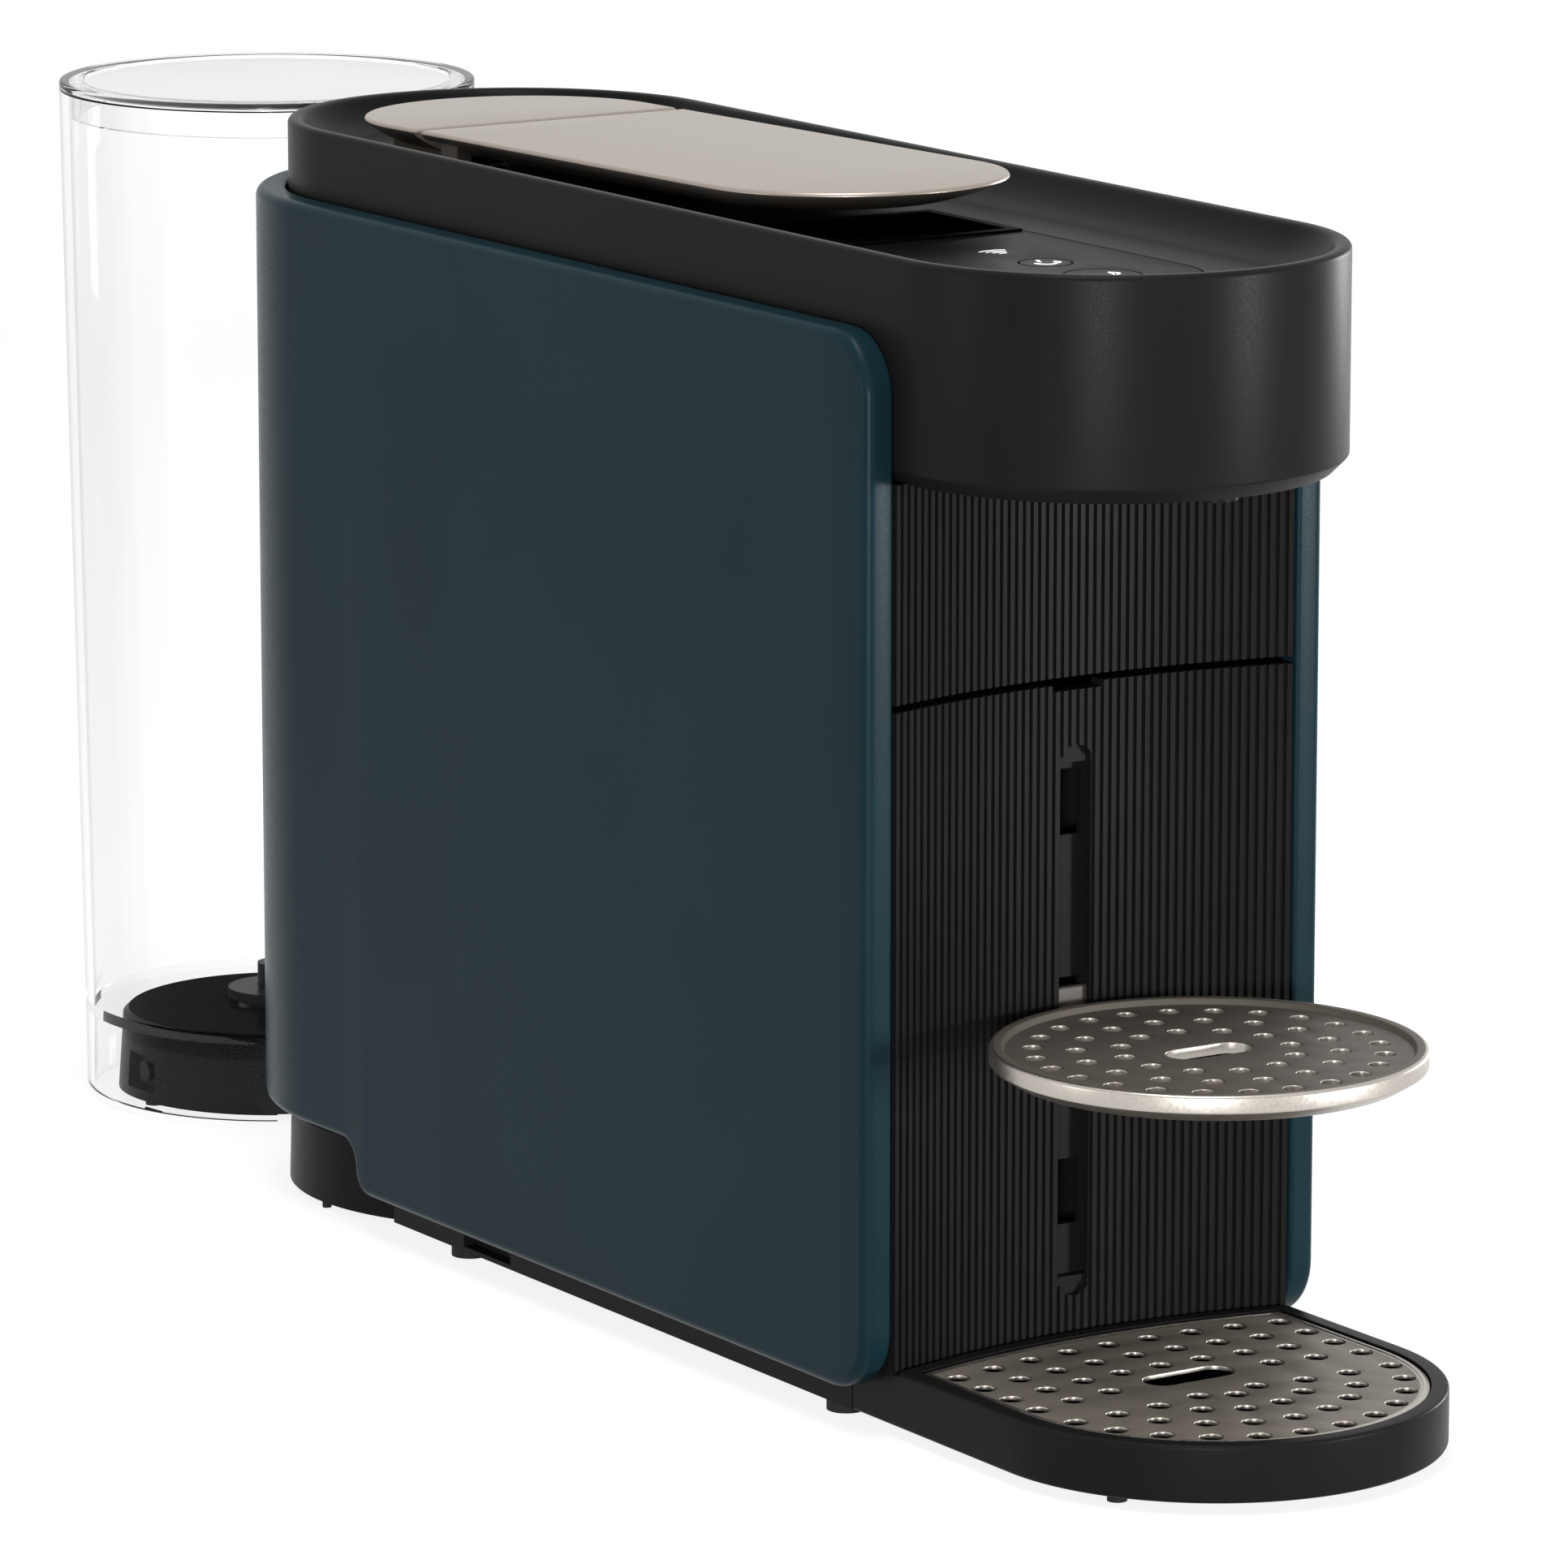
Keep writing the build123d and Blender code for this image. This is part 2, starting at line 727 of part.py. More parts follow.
def make_carriage():
    """Sliding half of the brewing unit: its plate, yoked bars and nozzle, and the pierced plate on it."""
    front = carriage_y - carriage_plate
    plate_z = (brew_z - capsule_flange_radius, brew_z + capsule_flange_radius)
    carriage = block((-bar_outer, bar_outer), (front, carriage_y), plate_z)
    bar_x = (bar_inner, bar_outer)
    bar = block(bar_x, (front, drive_y), (drive_z - carriage_bar_height, drive_z))
    slot_half = pin_radius + drive_slack
    slot_z = (pivot_z - crank_radius - pin_radius - drive_end_slack, drive_z + pin_radius + drive_end_slack)
    yoke_half = slot_half + carriage_bar
    yoke_z = (slot_z[0] - carriage_bar, slot_z[1] + carriage_bar)
    bar += block(bar_x, (drive_y - yoke_half, drive_y + yoke_half), yoke_z)
    bar -= block(bar_x, (drive_y - slot_half, drive_y + slot_half), slot_z)
    carriage += both_sides(bar)
    nozzle_front = front - nozzle_reach
    carriage += rod_y(0, brew_z, nozzle_radius, nozzle_front, front)
    carriage -= rod_y(0, brew_z, nozzle_bore, nozzle_front, carriage_y)
    pierced_y = (carriage_y - extraction_thickness, carriage_y)
    pierced = rod_y(0, brew_z, capsule_radius, *pierced_y)
    carriage -= pierced
    pierced -= rod_y(0, brew_z, nozzle_bore, *pierced_y)
    for ring, count in zip(extraction_rings, extraction_ring_counts):
        for k in range(count):
            angle = 2 * pi * k / count
            place = (ring * cos(angle), brew_z + ring * sin(angle))
            pierced -= rod_y(*place, extraction_hole_radius, *pierced_y)
    return {"extraction_carriage": carriage, "extraction_plate": pierced}


def make_outlet():
    """Plate that closes the head's overhang, and the coffee trough with its outlet."""
    tip = head_front_y - head_half
    overhang = Pos(0, (tip + panel_back_y) / 2) * Rectangle(2 * head_half, panel_back_y - tip)
    inside = stadium(head_inner, head_front_y, rear_axis_y)
    plate = slab(inside & overhang, head_bottom, outlet_plate_top)
    plate -= post(0, outlet_y, outlet_radius, 0, head_top)
    trough_front = outlet_y - outlet_radius - trough_wall
    trough_top = outlet_plate_top + trough_height
    trough_floor = outlet_plate_top + trough_wall
    trough = block((-trough_half, trough_half), (trough_front, trough_rear_y), (outlet_plate_top, trough_top))
    inner = trough_half - trough_wall
    trough -= block((-inner, inner), (trough_front + trough_wall, trough_rear_y - trough_wall),
                    (trough_floor, trough_top))
    trough += post(0, outlet_y, outlet_radius, head_bottom - outlet_drop, outlet_plate_top)
    trough -= post(0, outlet_y, nozzle_bore, 0, trough_floor)
    return {"outlet_plate": plate, "coffee_trough": trough}


def ribbed_panel(low, high):
    """Concave panel whose front carries upright flutes."""
    points = []
    half_rib = rib_share * rib_pitch / 2
    for k in range(rib_count):
        x = -panel_half + (k + 0.5) * rib_pitch
        left, right = x - half_rib, x + half_rib
        points += [(left, panel_arc_y(left, rib_depth)), (left, panel_arc_y(left, 0)),
                   (right, panel_arc_y(right, 0)), (right, panel_arc_y(right, rib_depth))]
    first = (-panel_half, panel_arc_y(panel_half, rib_depth))
    last = (panel_half, panel_arc_y(panel_half, rib_depth))
    outline = make_face([
        Polyline(first, *points, last),
        Polyline(last, (panel_half, panel_back_y), (-panel_half, panel_back_y), first),
    ])
    return slab(outline, low, high)


def make_upper_panel():
    """The fixed panel between the drawer and the head."""
    return {"upper_panel": ribbed_panel(panel_split, head_bottom)}


def make_drawer():
    """Lower ribbed panel with the upright cup track, and the capsule bin behind it."""
    panel = ribbed_panel(panel_bottom, panel_top)
    ahead = shell_front_y - panel_sag
    middle = (track_bottom + track_top) / 2
    half_length = (track_top - track_bottom - track_width) / 2
    spine_half = track_slot_width / 2 + track_back
    spine_length = half_length + track_back
    panel += block((-spine_half, spine_half), (panel_back_y - rib_depth, track_back_y),
                   (middle - spine_length, middle + spine_length))
    track = Pos(0, middle) * SlotOverall(track_top - track_bottom, track_width, rotation=90)
    panel -= extrude(Plane.XZ.offset(-track_lip_y) * track, amount=track_lip_y - ahead)
    panel -= block((-track_slot_width / 2, track_slot_width / 2), (track_lip_y, track_slot_y),
                   (middle - half_length, middle + half_length))
    for window in window_middles:
        panel -= block((-track_width / 2, track_width / 2), (ahead, track_back_y),
                       (window - window_height / 2, window + window_height / 2))
    panel -= block((-notch_width / 2, notch_width / 2), (ahead, panel_back_y),
                   (panel_top - notch_depth, panel_top))
    outer = block((-bin_half, bin_half), (bin_front_y, bin_rear_y), (tongue_top, bin_top))
    outer = fillet(outer.edges().filter_by(Axis.Z), bin_corner)
    inner_half = bin_half - bin_wall
    inner = block((-inner_half, inner_half), (bin_front_y + bin_wall, bin_rear_y - bin_wall),
                  (tongue_top + bin_wall, bin_top))
    inner = fillet(inner.edges().filter_by(Axis.Z), bin_corner - bin_wall)
    return {"drawer_front": panel, "capsule_bin": outer - inner}


def make_cup_support():
    """Pierced round plate on a neck whose shoe slides in the panel's track."""
    bevel_top = cup_top - cup_wall
    bottom = bevel_top - cup_bevel
    floor_top = cup_top - cup_recess
    floor_low = floor_top - cup_floor
    plate = post(0, cup_y, cup_radius, bevel_top, cup_top)
    plate = fillet(plate.edges().group_by(Axis.Z)[-1], cup_edge_radius)
    plate += cone_wall(cup_y, cup_radius - cup_bevel_run, cup_radius, bottom, bevel_top)
    recess = cup_radius - cup_rim
    plate -= cone_wall(cup_y, recess - cup_recess_run, recess, floor_top, cup_top)
    skirt_inner = recess - cup_skirt
    plate -= post(0, cup_y, skirt_inner, bottom, floor_low)
    for ring, count in zip(cup_rings, cup_ring_counts):
        for k in range(count):
            angle = 2 * pi * (k + 0.5) / count
            plate -= post(ring * cos(angle), cup_y + ring * sin(angle), cup_hole_radius, bottom, cup_top)
    plate -= slab(Pos(0, cup_y) * SlotOverall(cup_slot_length, cup_slot_width), bottom, cup_top)
    neck_half = track_width / 2 - track_clearance
    shoe_half = track_slot_width / 2 - track_clearance
    shoe_y = (track_lip_y + track_clearance, track_slot_y - track_clearance)
    shoe_low = cup_top - shoe_drop
    neck_y = (cup_y + skirt_inner, shoe_y[1])
    plate += block((-neck_half, neck_half), neck_y, (floor_low - neck_height, floor_low))
    plate += block((-shoe_half, shoe_half), shoe_y, (shoe_low, shoe_low + shoe_height))
    return {"cup_support": plate}


def grid_outline(margin):
    """D-shaped outline of the drip grid: half-round front, concave back edge along the panel."""
    half = base_half - drip_rim - drip_step - margin
    setback = drip_step + grid_setback + margin
    back = panel_arc_y(half, 0) - setback
    middle = panel_arc_y(0, 0) - setback
    return make_face([
        Line((half, drip_y), (half, back)),
        ThreePointArc((half, back), (0, middle), (-half, back)),
        Line((-half, back), (-half, drip_y)),
        CenterArc((0, drip_y), half, 180, 180),
    ])


def grid_holes():
    """Places of the grid's holes: rows along the panel's curve, then half rings round the front."""
    half_columns = grid_columns // 2
    holes = []
    for row in range(grid_rows + 1):
        for column in range(-half_columns, half_columns + 1):
            x = column * grid_pitch_x
            curve = panel_arc_y(x, 0) - panel_arc_y(0, 0)
            beside_slot = row == grid_rows and abs(x) < grid_slot_length / 2
            if not beside_slot:
                holes.append((x, grid_first_y - row * grid_pitch_y + curve))
    for step, count in enumerate(grid_arc_counts, start=1):
        radius = step * grid_pitch_x
        for k in range(1, count + 1):
            angle = pi + pi * k / (count + 1)
            holes.append((radius * cos(angle), drip_y + radius * sin(angle)))
    return holes


def make_drip_base():
    """Black base with its tray, tongue and feet, and the pierced grid that lies in its rim."""
    front = drip_y - base_half
    reach = Pos(0, (front + drip_rear_y) / 2) * Rectangle(2 * base_half, drip_rear_y - front)
    base = slab(stadium(base_half, drip_y, 0) & reach, drip_bottom, drip_top)
    ends_y = panel_arc_y(shell_half, 0) - drip_step
    under_panel = make_face([
        ThreePointArc((shell_half, ends_y), (0, panel_arc_y(0, 0) - drip_step), (-shell_half, ends_y)),
        Polyline((-shell_half, ends_y), (-shell_half, 0), (shell_half, 0), (shell_half, ends_y)),
    ])
    base -= slab(under_panel, panel_bottom, 2 * drip_top)
    rim_edges = base.faces().sort_by(Axis.Z)[-1].edges().filter_by(GeomType.CIRCLE)
    base = fillet(rim_edges.sort_by(Axis.Y)[0], drip_edge_radius)
    grid_top = drip_top - grid_below_rim
    grid_low = grid_top - grid_thickness
    base -= slab(grid_outline(0), grid_low, 2 * drip_top)
    base -= slab(grid_outline(drip_ledge), drip_bottom + drip_floor, 2 * drip_top)
    base += block((-bin_half, bin_half), (drip_rear_y - drip_ledge, bin_rear_y), (tongue_bottom, tongue_top))
    grid = slab(grid_outline(grid_gap), grid_low, grid_top)
    for x, y in grid_holes():
        grid -= post(x, y, grid_hole_radius, grid_low, grid_top)
    slot_y = grid_first_y - grid_rows * grid_pitch_y
    grid -= slab(Pos(0, slot_y) * SlotOverall(grid_slot_length, grid_slot_width), grid_low, grid_top)
    feet = both_sides(post(base_half - drip_foot_inset, drip_foot_y, drip_foot_radius, 0, drip_bottom))
    return {"drip_base": base, "drip_grid": grid, "drip_feet": feet}


def oval_bush(width, height, low, high):
    """A bar of oval section along X, at the middle of the base plate's edge."""
    middle = (drip_bottom + chassis_top) / 2
    return side_profile(Pos(gland_y, middle) * SlotOverall(width, height), low, high)


def make_chassis():
    """Base plate with side rails, and the deck over the swivel drum with its hub."""
    room = post(0, rear_axis_y, drum_room, 0, rear_deck_bottom)
    plate = block((-base_half, base_half), (chassis_front_y, chassis_rear_y), (drip_bottom, chassis_top))
    rail_inner = base_half - rail_width
    rail_y = (chassis_front_y + rail_front_gap, rear_step_y - rear_lift)
    rail = block((rail_inner, shell_inner), rail_y, (chassis_top, rail_top))
    rail += block((rail_inner, base_half), rail_y, (drip_bottom, rail_top))
    plate += both_sides(rail)
    plate -= room
    deck_z = (rear_deck_bottom, rear_deck_top)
    deck = slab(Pos(0, rear_axis_y) * Circle(shell_inner), *deck_z)
    deck += block((-shell_inner, shell_inner), (wall_rear_y, rear_axis_y), deck_z)
    riser_y = rear_axis_y - drum_room
    deck += block((-base_half, base_half), (riser_y - bulkhead_thickness, riser_y),
                  (chassis_top, rear_deck_bottom))
    deck += post(0, rear_axis_y, hub_radius, drum_bottom + retainer_thickness, rear_deck_bottom)
    deck += post(0, rear_axis_y, port_radius, rear_deck_top, hub_top)
    chassis = plate + deck
    chassis -= post(0, rear_axis_y, hub_bore, 0, rear_deck_bottom)
    chassis -= post(0, rear_axis_y, hose_bore, 0, hub_top)
    vent_low = drip_bottom + slot_vent_lift
    chassis -= block((-base_half, slot_vent_depth - base_half),
                     (slot_vent_y - slot_vent_length / 2, slot_vent_y + slot_vent_length / 2),
                     (vent_low, vent_low + slot_vent_height))
    for x, y in screw_places:
        chassis -= post(x, y, screw_head_radius, drip_bottom, drip_bottom + screw_head_height)
        chassis -= post(x, y, screw_radius, drip_bottom, drip_bottom + screw_length)
    chassis -= oval_bush(gland_width, gland_height, base_half - gland_length, base_half)
    lead_end = base_half - gland_length - lead_run
    chassis -= oval_bush(lead_width, lead_height, lead_end, base_half)
    chassis -= block((lead_end, lead_end + lead_width), (gland_y - lead_width / 2, gland_y + lead_width / 2),
                     ((drip_bottom + chassis_top) / 2, rear_deck_top))
    return {"chassis": chassis}


def make_bulkhead():
    """Upright wall behind the capsule bin, with the shelf that carries the brewing unit."""
    wall_x = (-shell_inner, shell_inner)
    wall_y = (bulkhead_y, wall_rear_y)
    bulkhead = block(wall_x, wall_y, (chassis_top, head_bottom))
    bulkhead -= both_sides(block((base_half - rail_width, shell_inner), wall_y, (chassis_top, rail_top)))
    shelf_area = Pos(0, (bulkhead_y + rear_axis_y) / 2) * Rectangle(2 * head_inner, rear_axis_y - bulkhead_y)
    bulkhead += slab(shelf_area, head_bottom, shelf_top)
    bulkhead -= post(0, brew_hose_y, port_radius, head_bottom, shelf_top)
    cage_room = cage_radius + side_gap
    bulkhead -= block((-cage_room, cage_room), (bulkhead_y, cage_rear_y + side_gap),
                      (brew_z - cage_room, brew_z))
    return {"bulkhead": bulkhead}


def make_base_details():
    """Retainer under the swivel hub, feet, screws and the bush for the mains lead."""
    retainer = post(0, rear_axis_y, retainer_radius, drum_bottom, drum_bottom + retainer_thickness)
    retainer -= post(0, rear_axis_y, hub_bore, 0, drum_top)
    foot_x = base_half - foot_inset
    feet = [post(side * foot_x, y, foot_radius, 0, drip_bottom)
            for side in (-1, 1) for y in (foot_front_y, foot_rear_y)]
    screws = []
    head_top_z = drip_bottom + screw_head_height
    for x, y in screw_places:
        screw = post(x, y, screw_head_radius, drip_bottom, head_top_z)
        screw -= Pos(x, y, drip_bottom) * Box(screw_slot, 2 * screw_radius, screw_head_height)
        screws.append(screw + post(x, y, screw_radius, head_top_z, drip_bottom + screw_length))
    gland_x = (base_half - gland_length, base_half + gland_flange)
    gland = oval_bush(gland_width, gland_height, *gland_x)
    gland -= oval_bush(lead_width, lead_height, *gland_x)
    return {"swivel_retainer": retainer, "body_feet": Compound(children=feet),
            "base_screws": Compound(children=screws), "mains_gland": gland}


def make_tank_arm():
    """Swivel drum, arm and tank seat in one moulding, its cover, valve socket and feet."""
    drum = cone_wall(rear_axis_y, drum_radius, drum_radius - drum_draft, drum_bottom, drum_top)
    drum = chamfer(drum.edges().group_by(Axis.Z)[-1], drum_edge)
    seat_slope = (seat_radius - seat_top_radius) / (drum_top - drum_bottom)
    split_radius = seat_radius - seat_slope * (seat_cover_low - drum_bottom)
    seat = cone_wall(tank_y, seat_radius, split_radius, drum_bottom, seat_cover_low)
    body = drum + seat + block((-arm_half, arm_half), (rear_axis_y, tank_y), (drum_bottom, seat_cover_low))
    latch_z = (drum_bottom + seat_cover_low) / 2
    body -= block((-seat_radius, latch_depth - seat_radius),
                  (tank_y - latch_width / 2, tank_y + latch_width / 2),
                  (latch_z - latch_height / 2, latch_z + latch_height / 2))
    boss_x = (latch_depth / 2 - seat_radius, 2 * latch_depth - seat_radius)
    body += rod_x(tank_y, latch_z, latch_boss_radius, *boss_x)
    ring = Pos(0, rear_axis_y) * (Circle(drum_radius - drum_wall) - Circle(retainer_radius + drum_wall))
    arm_strip = Pos(0, (tank_y + rear_axis_y) / 2) * Rectangle(2 * arm_half, tank_y - rear_axis_y)
    body -= slab(ring - arm_strip, drum_bottom, drum_top - drum_wall)
    body -= post(0, rear_axis_y, hub_radius + hub_clearance, 0, 2 * drum_top)
    retainer_room = drum_bottom + retainer_thickness + retainer_gap
    body -= post(0, rear_axis_y, retainer_radius + retainer_gap, 0, retainer_room)
    cover = cone_wall(tank_y, split_radius, seat_top_radius, seat_cover_low, drum_top)
    cover = chamfer(cover.edges().group_by(Axis.Z)[-1], seat_edge)
    socket_bore = post(0, tank_y, socket_radius - socket_wall, seat_cover_low, drum_top + socket_height)
    cover -= socket_bore
    socket = post(0, tank_y, socket_radius, drum_top, drum_top + socket_height) - socket_bore
    drum_foot_x = drum_radius - drum_foot_inset
    seat_foot = seat_radius - seat_foot_inset
    feet = [post(side * drum_foot_x, rear_axis_y, drum_foot_radius, 0, drum_bottom) for side in (-1, 1)]
    feet += [post(side * seat_foot, tank_y, seat_foot_radius, 0, drum_bottom) for side in (-1, 1)]
    feet.append(post(0, tank_y + seat_foot, seat_foot_radius, 0, drum_bottom))
    return {"tank_arm": body, "seat_cover": cover, "valve_socket": socket,
            "arm_feet": Compound(children=feet)}


def tank_radius(z):
    """Outer radius of the tapering tank at height z."""
    return tank_foot_radius + tank_taper * (z - tank_foot)


def make_tank():
    """Clear tank whose skirt drops round the seat, its valve and its lid."""
    def tank_cone(inset, low, high):
        return cone_wall(tank_y, tank_radius(low) - inset, tank_radius(high) - inset, low, high)

    tank = tank_cone(0, tank_foot, tank_rim)
    tank -= tank_cone(tank_wall, tank_floor_top, tank_rim)
    tank -= tank_cone(tank_wall, tank_foot, drum_top)
    tank -= block((-tank_notch_half, tank_notch_half), (rear_axis_y, tank_y), (0, drum_top))
    tank -= post(0, tank_y, valve_radius, drum_top, tank_floor_top)
    valve_low = drum_top + socket_height + valve_gap
    valve = post(0, tank_y, valve_radius, valve_low, tank_floor_top)
    valve += post(0, tank_y, valve_radius + valve_flange, tank_floor_top, tank_floor_top + valve_flange)
    valve += post(0, tank_y, valve_stem_radius, tank_floor_top, valve_low + valve_height)
    rim_radius_outer = tank_radius(tank_rim)
    lid = post(0, tank_y, rim_radius_outer, tank_rim, tank_lid_top)
    lid = fillet(lid.edges().group_by(Axis.Z)[-1], tank_lid_edge)
    lid -= post(0, tank_y, rim_radius_outer - tank_lid_margin, tank_lid_top - tank_lid_dish, tank_lid_top)
    plug_low = tank_rim - plug_height
    plug_radius = tank_radius(plug_low) - tank_wall - plug_gap
    lid += post(0, tank_y, plug_radius, plug_low, tank_rim)
    lid -= post(0, tank_y, plug_radius - plug_wall, plug_low, tank_rim)
    return {"tank_body": tank, "tank_valve": valve, "tank_lid": lid}


def make_heater():
    """Thermoblock on the bulkhead, with its fins, and the power board beside it."""
    heater = block((-thermoblock_half, thermoblock_half), (wall_rear_y, thermoblock_rear_y),
                   (thermoblock_bottom, thermoblock_top))
    fins = int(thermoblock_half // thermoblock_fin) // 2
    for k in range(-fins, fins + 1):
        x = 2 * k * thermoblock_fin
        heater -= block((x - thermoblock_fin / 2, x + thermoblock_fin / 2),
                        (thermoblock_rear_y - thermoblock_fin, thermoblock_rear_y),
                        (thermoblock_bottom, thermoblock_top))
    board = block((power_board_x, power_board_x + board_thickness),
                  (wall_rear_y, wall_rear_y + power_board_length),
                  (power_board_bottom, power_board_bottom + power_board_height))
    for k in range(component_count):
        y = wall_rear_y + (k + 1) * power_board_length / (component_count + 1)
        low = power_board_bottom + switch_size
        board += block((power_board_x - component_depth, power_board_x), (y - switch_size, y + switch_size),
                       (low, low + (k + 2) * switch_size))
    return {"thermoblock": heater, "power_board": board}


def make_pump_and_hoses():
    """Pump on its mount, flow meter, and the hoses from the tank's hub to the brewing unit."""
    pump = post(pump_x, pump_y, pump_radius, pump_bottom, pump_top)
    coil_middle = (pump_bottom + pump_top) / 2
    pump += Pos(pump_x, pump_y, coil_middle) * Box(pump_coil, pump_coil, pump_coil_height)
    neck_top = pump_top + pump_neck
    pump += post(pump_x, pump_y, port_radius, pump_top, neck_top)
    port_z = pump_bottom + pump_port_height
    port_y = pump_y - pump_radius - pump_port_length
    pump += rod_y(pump_x, port_z, port_radius, port_y, pump_y)
    mount = post(pump_x, pump_y, pump_radius, rear_deck_top, pump_bottom)
    mount -= post(pump_x, pump_y, pump_mount_bore, rear_deck_top, pump_bottom)
    meter = post(meter_x, meter_y, meter_radius, rear_deck_top, meter_top)
    arch = meter_top + hose_arch
    inlet = hose([(0, rear_axis_y, hub_top), (0, rear_axis_y, arch),
                  (meter_x, meter_y, arch), (meter_x, meter_y, meter_top)])
    out_x = meter_x + meter_port
    over = neck_top + hose_arch
    suction = hose([(out_x, meter_y, meter_top), (out_x, meter_y, over),
                    (pump_x, pump_y, over), (pump_x, pump_y, neck_top)])
    inlet_y = wall_rear_y + thermoblock_inlet
    pressure = hose([(pump_x, port_y, port_z), (pump_x, inlet_y, port_z),
                     (pump_x, inlet_y, thermoblock_bottom)])
    brew = hose([(0, brew_hose_y, thermoblock_top), (0, brew_hose_y, brew_z), (0, cage_port_y, brew_z)])
    return {"pump": pump, "pump_mount": mount, "flow_meter": meter, "inlet_hose": inlet,
            "suction_hose": suction, "pressure_hose": pressure, "brew_hose": brew}


def main():
    pieces = {"outer_shell": make_shell(), "head_housing": make_head()}
    for make in (make_upper_panel, make_controls, make_lid, make_lever_parts, make_brew_unit, make_carriage,
                 make_outlet, make_drawer, make_cup_support, make_drip_base, make_chassis, make_bulkhead,
                 make_base_details, make_tank_arm, make_tank, make_heater, make_pump_and_hoses):
        pieces.update(make())
    os.makedirs("parts", exist_ok=True)
    for name, shape in pieces.items():
        export_step(shape, f"parts/{name}.step")
        print(name, len(shape.solids()), round(shape.volume))


main()
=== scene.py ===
"""Looks of a slim pod coffee machine, built round its packed construction model.

Every length is in metres, in the construction model's frame: +X is the machine's right, -Y its front,
+Z up. The file is laid out as an add-on: property groups hold the sizes and colours, one operator makes
each piece or group of like pieces, and one panel lists them.
"""
import json
from math import atan2, cos, pi, radians, tan

import bmesh
import bpy
import numpy as np
from bpy.props import FloatProperty, FloatVectorProperty, IntProperty, PointerProperty
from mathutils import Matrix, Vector
from mathutils.geometry import delaunay_2d_cdt


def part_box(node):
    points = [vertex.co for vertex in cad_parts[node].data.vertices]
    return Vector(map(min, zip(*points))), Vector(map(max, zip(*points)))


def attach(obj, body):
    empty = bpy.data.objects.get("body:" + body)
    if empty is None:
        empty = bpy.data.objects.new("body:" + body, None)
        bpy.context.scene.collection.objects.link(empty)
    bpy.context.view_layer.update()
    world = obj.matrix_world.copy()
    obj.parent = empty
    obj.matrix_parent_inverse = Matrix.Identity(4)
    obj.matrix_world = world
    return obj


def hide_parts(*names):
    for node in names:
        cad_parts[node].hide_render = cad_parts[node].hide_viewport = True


bl_info = {
    "name": "Pod coffee machine",
    "version": (1, 0, 0),
    "blender": (4, 5, 0),
    "location": "3D View > Sidebar > Coffee",
    "description": "Surfaces, finishes and stage of a slim pod coffee machine",
    "category": "Object",
}

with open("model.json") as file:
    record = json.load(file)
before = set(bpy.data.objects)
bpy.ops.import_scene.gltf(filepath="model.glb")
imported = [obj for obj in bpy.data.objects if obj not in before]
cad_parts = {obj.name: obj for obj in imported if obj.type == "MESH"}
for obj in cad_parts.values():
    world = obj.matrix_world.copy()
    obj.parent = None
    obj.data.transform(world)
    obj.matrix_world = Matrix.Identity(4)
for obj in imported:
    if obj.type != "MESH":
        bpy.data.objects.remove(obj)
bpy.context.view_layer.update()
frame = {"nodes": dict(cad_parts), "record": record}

MM = 0.001
WHOLE_HULL = 0  # delaunay_2d_cdt then keeps every triangle
WELD = 1e-6  # points nearer than this become one
SHEET_WELD = 1e-8  # the same within a flat sheet
SHARP = radians(32)  # steeper edges are shaded as corners
HAIRLINE = 0.01 * MM  # gap that keeps two touching patches apart

# How many points make up a curve
HALF_TURN = 64
FULL_TURN = 128
BUTTON_TURN = 64
VALVE_TURN = 48
HOLE_TURN = 24
SLOT_END = 16
PANEL_POINTS = 49

# Radius and number of the holes in each ring of the cup support
CUP_RINGS = ((34.5 * MM, 24), (25.9 * MM, 16), (17.3 * MM, 12))

# A drawn cup's handle: its place, in half widths and in depths of the cup, and its radius in depths
HANDLE_ACROSS = 0.93
HANDLE_UP = 0.1
HANDLE_RADIUS = 0.3

WHITE = (1, 1, 1, 1)
FULL_SPAN = (0.0, 1.0)
NOISE_SPAN = (0.3, 0.7)  # where most of a noise texture's values lie
CLOUDS = 28.0  # waves per metre of the cloudiness in plastics
FLAKES = 2.7  # how much finer the flakes of a metal are than its grain

# How aslant the clear plastic is seen, from 0 to 1, and the share of its outline's tone that it has there:
# painted shade that greys the clear wall and darkens it along its outline
CLEAR_PAINTED_SHADE = ((0.12, 0.0), (0.15, 0.03), (0.28, 0.03), (0.31, 0.08), (0.8, 0.1), (0.88, 0.5))

NO_MIRROR = 1.01  # index of refraction at which the tank's floor mirrors nothing

# Each light's place, its target, its width and height, and its power in watts
LIGHTS = {
    "overhead": ((-0.15, -0.2, 1.25), (0, -0.05, 0.15), (0.35, 0.9), 8.5),
    "front_right": ((1.05, -1.7, 0.13), (0, -0.1, 0.12), (0.3, 0.24), 27.0),
    "front_left": ((-1.0, -1.45, 0.16), (0, -0.15, 0.12), (0.25, 0.3), 17.0),
    "rear_left": ((-1.45, 0.25, 0.16), (0, -0.1, 0.12), (0.35, 0.3), 2.0),
    "rear_right": ((1.6, 0.35, 0.2), (0, 0, 0.12), (0.3, 0.36), 9.0),
}
SENSOR_WIDTH = 36.0
FAR_CLIP = 50.0


def size(name, description, millimetres):
    """A length that a user may change; its default is given in millimetres."""
    return FloatProperty(name=name, description=description, default=millimetres * MM, unit="LENGTH",
                         precision=5)


def tint(name, description, default):
    """A colour that a user may change."""
    return FloatVectorProperty(name=name, description=description, default=default, subtype="COLOR",
                               size=3, min=0.0, max=1.0)


